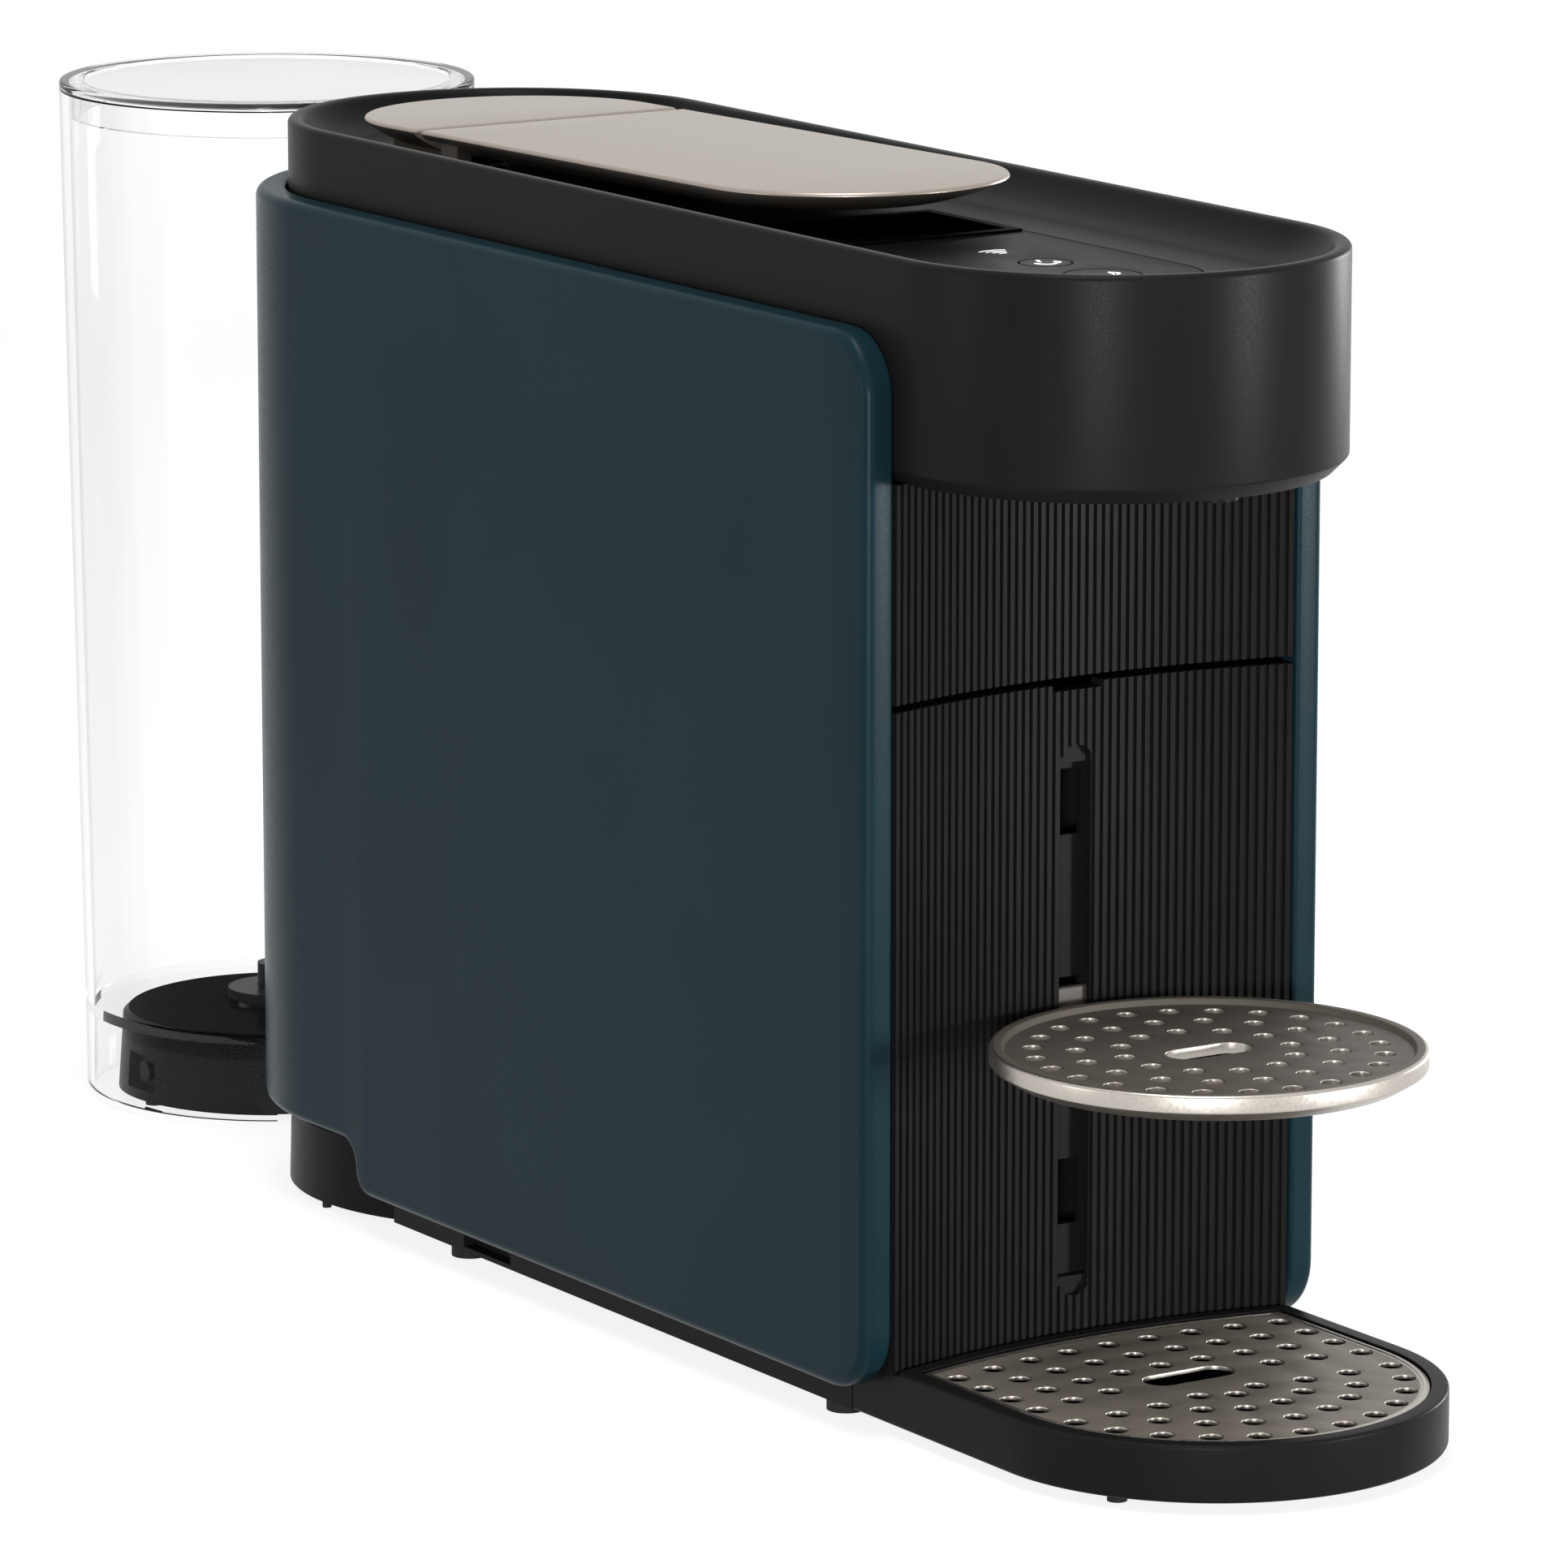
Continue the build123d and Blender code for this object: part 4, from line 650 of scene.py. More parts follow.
def finish_for(slot):
    """The material of one of the record's material slots."""
    colours = bpy.context.scene.coffee_finishes
    makers = {
        "shell_teal": lambda: moulded("satin_teal", colours.teal, rough=0.30, gloss=0.055),
        "black_plastic": lambda: moulded("satin_black", colours.black, rough=0.36, gloss=0.04),
        "panel_black": lambda: inlay("inlay_black", colours.panel),
        "light_pipe": lambda: inlay("inlay_window", colours.panel),
        "champagne": lambda: metal("champagne_paint", colours.champagne, rough=0.36, grain=2400.0,
                                   depth=0.008 * MM, metallic=0.75),
        "frame_zinc": lambda: metal("cast_zinc", colours.zinc, rough=0.45, grain=700.0, metallic=0.3),
        "steel": lambda: metal("ground_steel", colours.steel, rough=0.28, grain=900.0, depth=0.01 * MM,
                               stretch=(1, 12, 12)),
        # Lighter copy of the cup metal: painted highlight on walls, hole walls and rims
        "cup_metal": lambda: satin_metal("lit_cup_metal", colours.cup, rough=0.34),
        "rubber_black": lambda: moulded("rubber", colours.rubber, rough=0.7, grain=1400.0, depth=0.03 * MM,
                                        change=0.15, gloss=0.2),
        "hose_rubber": lambda: moulded("silicone_hose", colours.hose, rough=0.45, grain=300.0,
                                       depth=0.02 * MM),
        "clear_tank": lambda: clear_plastic("clear_moulding", colours.clear),
        "tank_lid_white": lambda: moulded("white_lid", colours.white, rough=0.35, depth=0.004 * MM,
                                          change=0.02),
        "heater_alloy": lambda: metal("cast_alloy", colours.alloy, rough=0.5, grain=500.0, depth=0.05 * MM),
        "pump_body": lambda: moulded("pump_moulding", colours.pump, rough=0.5),
        "circuit_board": lambda: circuit("printed_board"),
    }
    return makers[slot]()


def inlay_loop(sizes, margin):
    """The control panel's outline, larger by margin: half-round front, rounded rear corners."""
    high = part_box("control_panel")[1]
    half = high.x + margin
    rear = high.y + margin
    corner = sizes.corner + margin
    return np.concatenate([
        arc((0, sizes.round_y), half, pi, 2 * pi, HALF_TURN),
        arc((half - corner, rear - corner), corner, 0, pi / 2, 8),
        arc((corner - half, rear - corner), corner, pi / 2, pi, 8),
    ])


def make_shell(sizes):
    """A sheet bent round the machine. In its flat (s, z) plane the outline has round front corners and a
    lower edge that steps up at the rear; the sheet's thickness goes inwards, and a round edge is carried
    along the outline as pairs of (inset, depth)."""
    low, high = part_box("outer_shell")
    radius = high.x
    axis_y = high.y - radius
    length = axis_y - low.y
    corner, turn = sizes.shell_corner, sizes.rear_lift / 2
    step = sizes.rear_step_y - low.y
    half_length = length + pi * radius / 2

    def one_side(inset):
        """Top and bottom outline from the front edge to the middle of the rear."""
        quarter = np.linspace(0, pi / 2, 13)
        rear = np.linspace(step + turn, length, 4)[1:]
        bend = np.linspace(length, half_length, 49)[1:]
        r = corner - inset
        front_s = corner - r * np.cos(quarter)
        straight = np.linspace(corner, step - turn, 8)[1:-1]
        convex, concave = turn - inset, turn + inset
        bottom_s = np.concatenate([front_s, straight, step - turn + convex * np.sin(quarter),
                                   step + turn - concave * np.cos(quarter), rear, bend])
        bottom_z = np.concatenate([
            low.z + corner - r * np.sin(quarter), np.full(len(straight), low.z + inset),
            low.z + turn - convex * np.cos(quarter), low.z + turn + concave * np.sin(quarter),
            np.full(len(rear) + len(bend), low.z + 2 * turn + inset)])
        top_z = np.full(len(bottom_s), high.z - inset)
        top_z[:len(quarter)] = high.z - corner + r * np.sin(quarter)
        return bottom_s, top_z, bottom_z

    def bent(s, z, depth):
        """Bends the flat sheet: straight along the right side, half round at the rear, left side back."""
        angle = np.clip((s - length) / radius, 0, pi)
        r = radius - depth
        beyond = np.maximum(s - 2 * half_length + length, 0)
        y = np.where(s < length, low.y + s, axis_y + r * np.sin(angle) - beyond)
        return np.column_stack([r * np.cos(angle), y, z])

    def loop(inset, depth):
        s, top, bottom = one_side(inset)
        across = np.concatenate([s, 2 * half_length - s[-2::-1]])
        top = np.concatenate([top, top[-2::-1]])
        bottom = np.concatenate([bottom, bottom[-2::-1]])
        return np.concatenate([bent(across, top, depth), bent(across, bottom, depth)[::-1]])

    outer, inner, wall = sizes.shell_edge, sizes.shell_inner_edge, sizes.shell_wall
    profile = np.concatenate([arc((outer, outer), outer, 3 * pi / 2, pi, 8),
                              arc((inner, wall - inner), inner, pi, pi / 2, 5),
                              [(sizes.shell_lip, wall), (sizes.shell_lip, sizes.shell_skin)]])
    loops = np.array([loop(inset, depth) for inset, depth in profile])
    patch = Patchwork()
    patch.skin(loops)
    count = loops.shape[1] // 2
    for face in (loops[0], loops[-1]):
        patch.skin([face[:count], face[:count - 1:-1]], closed=False)
    patch.build("shell", "body", "shell_teal", ["outer_shell"])


def make_head(sizes, panel, lid):
    """A profile carried round a stadium: under-edge chamfer, side wall, rounded rim and the dish's arc,
    whose radius is (run^2 + depth^2) / (2 depth); the dish floor is pierced for panel and lever well."""
    low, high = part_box("head_housing")
    half = high.x
    front, rear = low.y + half, high.y - half
    rim = half - sizes.rim_width
    floor_half = rim - sizes.dish_run
    floor = high.z - sizes.dish_depth
    under = floor - sizes.deck
    inner = half - sizes.head_wall
    edge, soft = sizes.rim_edge, sizes.chamfer_soft
    knee = low.z + sizes.head_chamfer
    bowl = (sizes.dish_run**2 + sizes.dish_depth**2) / (2 * sizes.dish_depth)
    steepest = atan2(high.z - floor - bowl, sizes.dish_run)
    dish = arc((floor_half, floor + bowl), bowl, steepest - edge / bowl, -pi / 2, 20)
    profile = np.concatenate([
        [(inner, under), (inner, low.z), (half - sizes.head_chamfer, low.z)],
        soften((half - soft, knee - soft), (half, knee), (half, knee + sizes.chamfer_rise), 3),
        arc((half - edge, high.z - edge), edge, 0, pi / 2, 8),
        soften((rim + edge, high.z), (rim, high.z), dish[0]),
        dish[1:],
    ])
    patch = Patchwork()
    patch.skin([at(stadium(h, front, rear), z) for h, z in profile])
    well_half = high_x(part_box("lever_cover")) + sizes.well_gap
    well = rectangle(-well_half, well_half, lid.pivot_y - sizes.well_front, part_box("rear_cover")[0].y)
    holes = [inlay_loop(panel, panel.seam), well]
    for hole in holes:
        patch.skin([at(hole, floor), at(hole, under)])
    patch.sheet([stadium(floor_half, front, rear)] + holes, floor)
    patch.sheet([stadium(inner, front, rear)] + holes, under)
    patch.build("head", "body", "black_plastic", ["head_housing"])


def stroke(points, width):
    """A flat ribbon along a line: each point moved half the width to either side of the line."""
    points = np.asarray(points, float)
    along = np.gradient(points, axis=0)
    along /= np.linalg.norm(along, axis=1)[:, None]
    aside = np.column_stack([-along[:, 1], along[:, 0]]) * width / 2
    return points + aside, points - aside


def make_controls(sizes, marks):
    """The control panel, pierced for the capsule slot and the two buttons and covering the status light, with
    the buttons and the lit marks.
    """
    low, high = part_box("control_panel")
    chute_low, chute_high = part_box("capsule_chute")
    radii = {"small_button": sizes.small_radius, "large_button": sizes.large_radius}
    centres = {name: middle_y(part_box(name)) for name in radii}
    light_y = middle_y(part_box("status_light"))
    half = sizes.slot_half + sizes.slot_margin
    inset = sizes.slot_wall - sizes.slot_margin

    def slot(margin):
        wall = inset - margin
        return rectangle(-half - margin, half + margin, chute_low.y + wall, chute_high.y - wall)

    def button_hole(name):
        return lambda margin: circle(0, centres[name], radii[name] + margin, BUTTON_TURN)

    patch = Patchwork()
    patch.plate(lambda margin: inlay_loop(sizes, margin), [slot, *map(button_hole, radii)], low.z, high.z,
                sizes.edge, sizes.hole_edge)
    patch.build("control_face", "body", "panel_black", ["control_panel", "status_light"])
    for name, y in centres.items():
        make_button(sizes, name, y, radii[name] - sizes.button_gap, low.z - sizes.button_depth, high.z)
    glow_places = [(0, y, high.z) for y in (*centres.values(), light_y)]
    glowing(finish_for("panel_black"), glow_places, marks.glow)
    make_marks(marks, high.z, sizes.button_dip, light_y, centres)


def make_button(sizes, name, y, radius, foot, top):
    """A round button, turned: its top is hollowed by dip (1 - (r / R)^2), its edge is a quarter round."""
    edge = sizes.hole_edge
    r = np.linspace(0, radius - edge, 9)
    bowl = np.column_stack([r, top - sizes.button_dip * (1 - (r / r[-1])**2)])
    profile = np.concatenate([bowl, arc((radius - edge, top - edge), edge, pi / 2, 0, 4),
                              [(radius, foot), (0, foot)]])
    patch = Patchwork()
    patch.revolve(profile, y, BUTTON_TURN)
    patch.build(name + "_cap", name, "panel_black", [name])


def make_marks(marks, top, dip, light_y, centres):
    """Generic lit marks, ribbons that lie just proud of what carries them: arcs that fan out at the light,
    a small steaming cup and a larger cup on the buttons."""
    spread_from, spread_to = pi / 2 - marks.fan_spread, pi / 2 + marks.fan_spread
    fan = [arc((0, light_y - marks.fan_drop), marks.fan + step * marks.fan_step, spread_from, spread_to, 12)
           for step in range(marks.fan_arcs)]

    def cup(y, half, depth):
        """A cup in outline: a bowl that is half an ellipse, and a half-round handle."""
        bowl = arc((0, 0), 1.0, -pi, 0, 16) * [half, depth] + [0, y + depth / 2]
        handle = (HANDLE_ACROSS * half, y + HANDLE_UP * depth)
        return [bowl, arc(handle, HANDLE_RADIUS * depth, -pi / 2, pi / 2, 8)]

    small, large = centres["small_button"], centres["large_button"]
    t = np.linspace(-1, 1, 9)
    steam = np.column_stack([marks.steam_sway * np.sin(pi * t),
                             small + marks.steam_place + marks.steam_half * t])
    small_cup = cup(small - marks.small_drop, marks.small_half, marks.small_depth)
    drawn = {
        "light_mark": ("body", fan, 0.0),
        "small_button_mark": ("small_button", small_cup + [steam], dip),
        "large_button_mark": ("large_button", cup(large, marks.large_half, marks.large_depth), dip),
    }
    colour = bpy.context.scene.coffee_finishes.light
    height = top + marks.lift
    for name, (body, lines, hollow) in drawn.items():
        base = top - hollow - marks.lift
        patch = Patchwork()
        for line in lines:
            left, right = stroke(line, marks.width)
            rows = np.stack([at(left, base), at(left, height), at(right, height), at(right, base)], axis=1)
            patch.skin(rows)
            for end in (rows[0], rows[-1]):
                patch.add(end, [(0, 1, 2, 3)])
        patch.build(name, body, "light_pipe", finishes=[lit_mark("lit_mark", colour)])


def lid_height(lid, depth):
    """Height of the plane that lies depth below the lid's sloping top, as a function of y."""
    return lambda y: lid.top - (y - lid.pivot_y) * tan(lid.slope) - depth / cos(lid.slope)


def edge_rows(lid):
    """Pairs of (inset, depth) down the lid's rounded upper edge and its upright edge."""
    return [*quarter_round(lid.edge_radius, 5), (0.0, lid.edge)]


def make_lever(lid):
    """The lever's outline is a half-round nose with straight sides. Loops of it go down over the rounded
    edge and the belly; behind the ears' room the belly stops at the skin, and a hollow opens below."""
    half = high_x(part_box("lever_cover"))
    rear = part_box("lever_cover")[1].y
    step = lid.pivot_y - lid.ear_front
    span = lid.thickness - lid.edge

    def path(inset, nose_shift, back):
        """The open outline from the left side round the nose to the right, then the rear corners."""
        h = half - inset
        nose = arc((0, lid.nose_y + nose_shift), h, pi, 2 * pi, HALF_TURN)
        return np.concatenate([[(-h, step)], nose, [(h, step)], [(h, back), (-h, back)]])

    def belly(t):
        share = t**lid.belly
        return lid.bevel * share, (lid.nose_bevel - lid.bevel) * share

    def row(inset, shift, depth, back=rear):
        loop = path(inset, shift, back)
        return at(loop, lid_height(lid, depth)(loop[:, 1]))

    patch = Patchwork()
    top = [row(inset, 0, depth, rear - inset) for inset, depth in edge_rows(lid)]
    shallow = np.linspace(0, (lid.skin - lid.edge) / span, 4)[1:]
    top += [row(*belly(t), lid.edge + t * span) for t in shallow]
    patch.skin(top)
    patch.sheet([path(lid.edge_radius, 0, rear - lid.edge_radius)], lid_height(lid, 0))
    deep = np.linspace(shallow[-1], 1, 8)
    outer = [row(*belly(t), lid.edge + t * span)[:-2] for t in deep]
    inset, shift = belly(1)
    lower = row(inset + lid.rim, shift, lid.thickness)[:-2]
    hollow = row(inset + lid.rim, shift, lid.skin)[:-2]
    patch.skin(outer + [lower, hollow], closed=False)
    for side in (0, -1):
        end = np.array([r[side] for r in outer] + [lower[side], hollow[side]])
        patch.add(end, [range(len(end))])
    skirt = path(*belly(shallow[-1]), rear)
    inside = np.concatenate([hollow[:, :2], [skirt[-3], skirt[-2], skirt[-1], skirt[0]]])
    patch.sheet([inside], lid_height(lid, lid.skin))
    patch.build("lever", "lever", "champagne", ["lever_cover"])


def make_rear_lid(lid):
    """The fixed cover behind the lever: a half-round end with straight sides, edge and belly as loops."""
    low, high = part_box("rear_cover")
    span = lid.thickness - lid.edge

    def loop(inset, front):
        h = high.x - inset
        return np.concatenate([[(-h, front), (h, front)], arc((0, lid.rear_y), h, 0, pi, HALF_TURN)])

    def row(inset, depth, front):
        flat = loop(inset, front)
        return at(flat, lid_height(lid, depth)(flat[:, 1]))

    rows = [row(inset, depth, low.y + inset) for inset, depth in edge_rows(lid)]
    rows += [row(lid.bevel * t**lid.belly, lid.edge + t * span, low.y) for t in np.linspace(0, 1, 10)[1:]]
    patch = Patchwork()
    patch.skin(rows)
    patch.sheet([loop(lid.edge_radius, low.y + lid.edge_radius)], lid_height(lid, 0))
    patch.sheet([loop(lid.bevel, low.y)], lid_height(lid, lid.thickness))
    patch.build("rear_lid", "body", "champagne", ["rear_cover"])


def cup_holes(sizes, y):
    """The plate's rings of round holes and its middle slot, as loops that grow with a margin."""
    places = []
    for ring, count in CUP_RINGS:
        angle = 2 * pi * (np.arange(count) + 0.5) / count
        places.append(np.column_stack([ring * np.cos(angle), y + ring * np.sin(angle)]))
    return [*round_holes(np.concatenate(places), sizes.hole),
            middle_slot(y, sizes.slot_length, sizes.slot_width)]


def make_cup_support(sizes):
    """A ring turned from a profile round a pierced floor, on a chamfered neck and shoe."""
    low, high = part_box("cup_support")
    radius = high.x
    y = low.y + radius
    top = low.z + sizes.rise
    floor = top - sizes.recess
    under = floor - sizes.floor
    knee = top - sizes.wall
    bottom = knee - sizes.bevel
    recess = radius - sizes.rim
    skirt = recess - sizes.skirt
    inner = radius - sizes.bevel_run
    edge, soft = sizes.edge, sizes.soft
    drop = soft * sizes.bevel / sizes.bevel_run
    rim = np.concatenate([
        [(recess - sizes.recess_run, floor)],
        soften((recess - soft / 2, top - soft), (recess, top), (recess + soft, top), 4),
        [(radius - edge, top)],
    ])
    wall = np.concatenate([
        arc((radius - edge, top - edge), edge, pi / 2, 0, 6),
        soften((radius, knee + soft), (radius, knee), (radius - soft, knee - drop), 3),
        soften((inner + soft, bottom + drop), (inner, bottom), (inner - soft, bottom), 3),
        [(skirt, bottom), (skirt, under)],
    ])
    holes = cup_holes(sizes, y)
    # Finish indices: ring is the lighter metal, a painted highlight on the walls, hole walls and underside;
    # flat the darker copy, painted shade on the top faces; dark a darker copy still, painted shade on the
    # neck and shoe
    ring, flat, dark = range(3)
    patch = Patchwork()
    patch.revolve(rim, y, finish=flat)
    patch.revolve(wall, y, finish=ring)
    patch.pierce(holes, under, floor, sizes.hole_edge, ring)
    patch.sheet([circle(0, y, recess - sizes.recess_run)] + [hole(sizes.hole_edge) for hole in holes],
                floor, flat)
    patch.sheet([circle(0, y, skirt)] + [hole(0) for hole in holes], under, ring)
    patch.box((-sizes.neck_half, sizes.neck_half), (y + skirt - sizes.neck_root, high.y),
              (under - sizes.neck, under - HAIRLINE), sizes.neck_edge, dark)
    patch.box((-sizes.shoe_half, sizes.shoe_half), (high.y - sizes.shoe_depth, high.y), (low.z, high.z),
              sizes.shoe_edge, dark)
    colours = bpy.context.scene.coffee_finishes
    finishes = [
        finish_for("cup_metal"),
        satin_metal("shaded_cup_floor", colours.cup_floor, rough=0.55, metallic=0.35, gloss=0.3),
        satin_metal("painted_shade_neck", colours.neck, rough=0.45, metallic=0.3),
    ]
    patch.build("cup_plate", "cup_support", "cup_metal", ["cup_support"], finishes)


def panel_front(sizes, x):
    """Y of the ribbed panel's hollow front at x: a circle's arc through its edges and its middle."""
    low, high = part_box("drawer_front")
    half = high.x
    radius = (half**2 + sizes.panel_sag**2) / (2 * sizes.panel_sag)
    return low.y + sizes.panel_sag - (radius - np.sqrt(radius**2 - x**2))


def panel_step(sizes, half, margin=0.0):
    """The ribbed panel's curve from x = half to -half, moved ahead by the panel's gap and back by margin."""
    x = np.linspace(half, -half, PANEL_POINTS)
    return np.column_stack([x, panel_front(sizes, x) - sizes.panel_gap + margin])


def grid_loop(sizes, margin):
    """D-shaped loop of the grid's seat, larger by margin: half-round front, back edge along the panel."""
    half = high_x(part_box("drip_base")) - sizes.rim + margin
    nose = arc((0, sizes.round_y), half, pi, 2 * pi, HALF_TURN)
    return np.concatenate([nose, panel_step(sizes, half, margin - sizes.grid_setback)])


def grid_holes(sizes):
    """The grid's holes, as loops that grow with a margin: rows along the panel's curve, with a slot in the
    middle of the last one, then half rings round the front."""
    columns = (np.arange(sizes.columns) - sizes.columns // 2) * sizes.pitch_x
    first = panel_front(sizes, 0.0) - sizes.first_row
    curve = panel_front(sizes, columns) - panel_front(sizes, 0.0)
    places = [np.column_stack([columns, first - row * sizes.pitch_y + curve]) for row in range(sizes.rows)]
    slot_y = first - sizes.rows * sizes.pitch_y
    beside = np.abs(columns) > sizes.slot_length / 2
    places.append(np.column_stack([columns, slot_y + curve])[beside])
    for ring in range(1, sizes.rings + 1):
        count = ring * sizes.ring_holes
        angle = pi + pi * np.arange(1, count + 1) / (count + 1)
        places.append(np.column_stack([ring * sizes.pitch_x * np.cos(angle),
                                       sizes.round_y + ring * sizes.pitch_x * np.sin(angle)]))
    return [*round_holes(np.concatenate(places), sizes.hole),
            middle_slot(slot_y, sizes.slot_length, sizes.slot_width)]


def make_drip_grid(sizes):
    """The pierced grid: round-edged holes in a thin sheet, a thicker border and along it a bead, whose
    height is h (1 - cos 2 pi t) / 2 across its width."""
    low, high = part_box("drip_grid")
    under = high.z - sizes.grid_sheet
    holes = grid_holes(sizes)

    def outline(inset):
        return grid_loop(sizes, -sizes.grid_gap - inset)

    # bright puts the lighter cup metal on the bead, the outer wall and the hole walls: a painted highlight on
    # the rims; flat is the grid's own satin tone
    flat, bright = range(2)
    patch = Patchwork()
    t = np.linspace(0, 1, 11)
    bead = high.z + sizes.bead_height * (1 - np.cos(2 * pi * t)) / 2
    rows = [at(outline(sizes.bead_width * (1 - share)), height) for share, height in zip(t, bead)]
    patch.skin(rows + [at(outline(0), low.z)], finish=bright)
    patch.skin([at(outline(sizes.grid_skirt), low.z), at(outline(sizes.grid_skirt), under)], finish=flat)
    patch.sheet([outline(0), outline(sizes.grid_skirt)], low.z, flat)
    patch.pierce(holes, under, high.z, sizes.hole_edge, bright)
    patch.sheet([outline(sizes.bead_width)] + [hole(sizes.hole_edge) for hole in holes], high.z, flat)
    patch.sheet([outline(sizes.grid_skirt)] + [hole(0) for hole in holes], under, flat)
    tone = bpy.context.scene.coffee_finishes.satin
    satin = satin_metal("satin_grid", tone, rough=0.5, metallic=0.45, gloss=0.4)
    patch.build("grid", "drip_grid", "cup_metal", ["drip_grid"], [satin, finish_for("cup_metal")])


def make_drip_base(sizes):
    """The black base: a half-round outline that runs back under the panel, a rounded rim that ends along
    the panel's curve, the grid's seat, its ledge and the tray, each a loop carried to the next height, and
    the tongue behind it."""
    low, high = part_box("drip_base")
    half = high.x
    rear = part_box("chassis")[0].y - sizes.chassis_gap
    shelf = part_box("drawer_front")[0].z - sizes.shelf_gap
    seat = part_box("drip_grid")[0].z

    def front(inset):
        """The outline ahead of the panel."""
        h = half - inset
        ends = panel_step(sizes, h)[[-1, 0]]
        return np.concatenate([ends[:1], arc((0, sizes.round_y), h, pi, 2 * pi, HALF_TURN), ends[1:]])

    def outline(inset):
        h = half - inset
        return np.concatenate([front(inset), [(h, rear), (-h, rear)]])

    foot, edge, top = sizes.foot_edge, sizes.rim_edge, sizes.rim_top
    patch = Patchwork()
    rows = [at(outline(inset), low.z + lift) for inset, lift in quarter_round(foot, 5)]
    patch.skin(rows + [at(outline(0), shelf)])
    patch.sheet([outline(foot)], low.z)
    rim = [(0.0, shelf)] + [(inset, top - drop) for drop, inset in quarter_round(edge, 5)]
    patch.skin([at(front(inset), height) for inset, height in rim], closed=False)
    patch.skin([at(panel_step(sizes, half - inset), height) for inset, height in rim], closed=False)
    patch.sheet([np.concatenate([panel_step(sizes, half), [(-half, rear), (half, rear)]])], shelf)
    seat_loop, ledge = grid_loop(sizes, 0), grid_loop(sizes, -sizes.ledge)
    tray = low.z + sizes.floor
    patch.sheet([np.concatenate([front(edge), panel_step(sizes, half - edge)[1:-1]]), seat_loop], top)
    patch.skin([at(seat_loop, top), at(seat_loop, seat)])
    patch.sheet([seat_loop, ledge], seat)
    patch.skin([at(ledge, seat), at(ledge, tray)])
    patch.sheet([ledge], tray)
    bin_low, bin_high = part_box("capsule_bin")
    patch.box((bin_low.x, bin_high.x), (rear, high.y), (bin_low.z - sizes.tongue, bin_low.z),
              sizes.tongue_edge)
    patch.build("drip_tray", "drawer", "black_plastic", ["drip_base"])


def make_tank(sizes):
    """A tapering wall turned about the tank's axis. Its lower edge rises over the arm, so the height of
    each lower row depends on the angle; the floor is pierced for the valve."""
    low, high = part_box("tank_body")
    y = middle_y((low, high))
    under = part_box("seat_cover")[1].z
    floor = under + sizes.floor
    taper = (high.x - sizes.foot_radius) / (high.z - low.z)
    notch = np.arcsin(sizes.notch / sizes.foot_radius)
    sides = np.linspace(-pi / 2 + notch, 3 * pi / 2 - notch, FULL_TURN)
    gap = np.linspace(3 * pi / 2 - notch, 3 * pi / 2 + notch, 17)
    angle = np.concatenate([sides, gap])
    in_gap = np.arange(len(angle)) >= len(sides)

    def row(inset, height):
        """One turn of the wall at an inset from its outer face."""
        height = np.where(in_gap, np.maximum(height, under), height)
        r = sizes.foot_radius + taper * (height - low.z) - inset
        return np.column_stack([r * np.cos(angle), y + r * np.sin(angle), height])

    wall, lip = sizes.wall, sizes.lip
    rows = [row(wall, floor), row(wall, high.z), row(0, high.z)]
    rows += [row(inset, low.z + lift) for lift, inset in quarter_round(lip, 4)]
    rows += [row(wall - inset, low.z + lift) for inset, lift in quarter_round(lip, 4)]
    rows.append(row(wall, under))
    walls, base = range(2)
    patch = Patchwork()
    patch.skin(rows, finish=walls)
    hole = circle(0, y, sizes.valve, VALVE_TURN)
    patch.sheet([rows[0][:, :2], hole], floor, base)
    patch.sheet([rows[-1][:, :2], hole], under, base)
    patch.skin([at(hole, under), at(hole, floor)], finish=base)
    base_finish = clear_plastic("clear_floor", bpy.context.scene.coffee_finishes.clear, NO_MIRROR)
    patch.build("tank", "tank", "clear_tank", ["tank_body"], [finish_for("clear_tank"), base_finish])


def make_tank_lid(sizes):
    """The lid is turned from one profile: a clear rounded rim, a white face a little lower, and a plug."""
    low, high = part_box("tank_lid")
    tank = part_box("tank_body")
    y, seat = middle_y(tank), tank[1].z
    radius = high.x
    edge, soft = sizes.lid_edge, sizes.lid_soft
    face = radius - sizes.lid_margin
    dish = high.z - sizes.lid_dish
    plug = radius - sizes.wall - sizes.plug_gap
    hollow = plug - sizes.plug_wall
    profile = np.concatenate([
        [(face, dish)],
        soften((face, high.z - soft), (face, high.z), (face + soft, high.z), 3),
        arc((radius - edge, high.z - edge), edge, pi / 2, 0, 6),
        [(radius, seat), (plug, seat), (plug, low.z), (hollow, low.z), (hollow, seat)],
    ])
    clear, white = range(2)
    patch = Patchwork()
    patch.revolve(profile, y, finish=clear)
    patch.sheet([circle(0, y, face)], dish, white)
    patch.sheet([circle(0, y, hollow)], seat, white)
    patch.build("tank_cover", "tank_lid", "tank_lid_white", ["tank_lid"],
                [finish_for("clear_tank"), finish_for("tank_lid_white")])


def dress_frame():
    """Gives every construction node the finish of its material slot, apart from the chute and brew plates,
    painted near-black as shade under the lever's nose, and the seat cover, which is as black as the control
    panel."""
    nodes = frame["nodes"]
    for part in frame["record"]["subparts"]:
        materials = nodes[part["node"]].data.materials
        materials.clear()
        materials.append(finish_for(part["material_slot"]))
    # Near-black painted shade in the chute and brew plates, standing in for the shadow under the lever's nose
    throat_shade = moulded("painted_shade_throat", bpy.context.scene.coffee_finishes.throat_shade, rough=0.5, gloss=0.02)
    for name in ("capsule_chute", "brew_plate_left", "brew_plate_right"):
        nodes[name].data.materials[0] = throat_shade
    nodes["seat_cover"].data.materials[0] = finish_for("light_pipe")


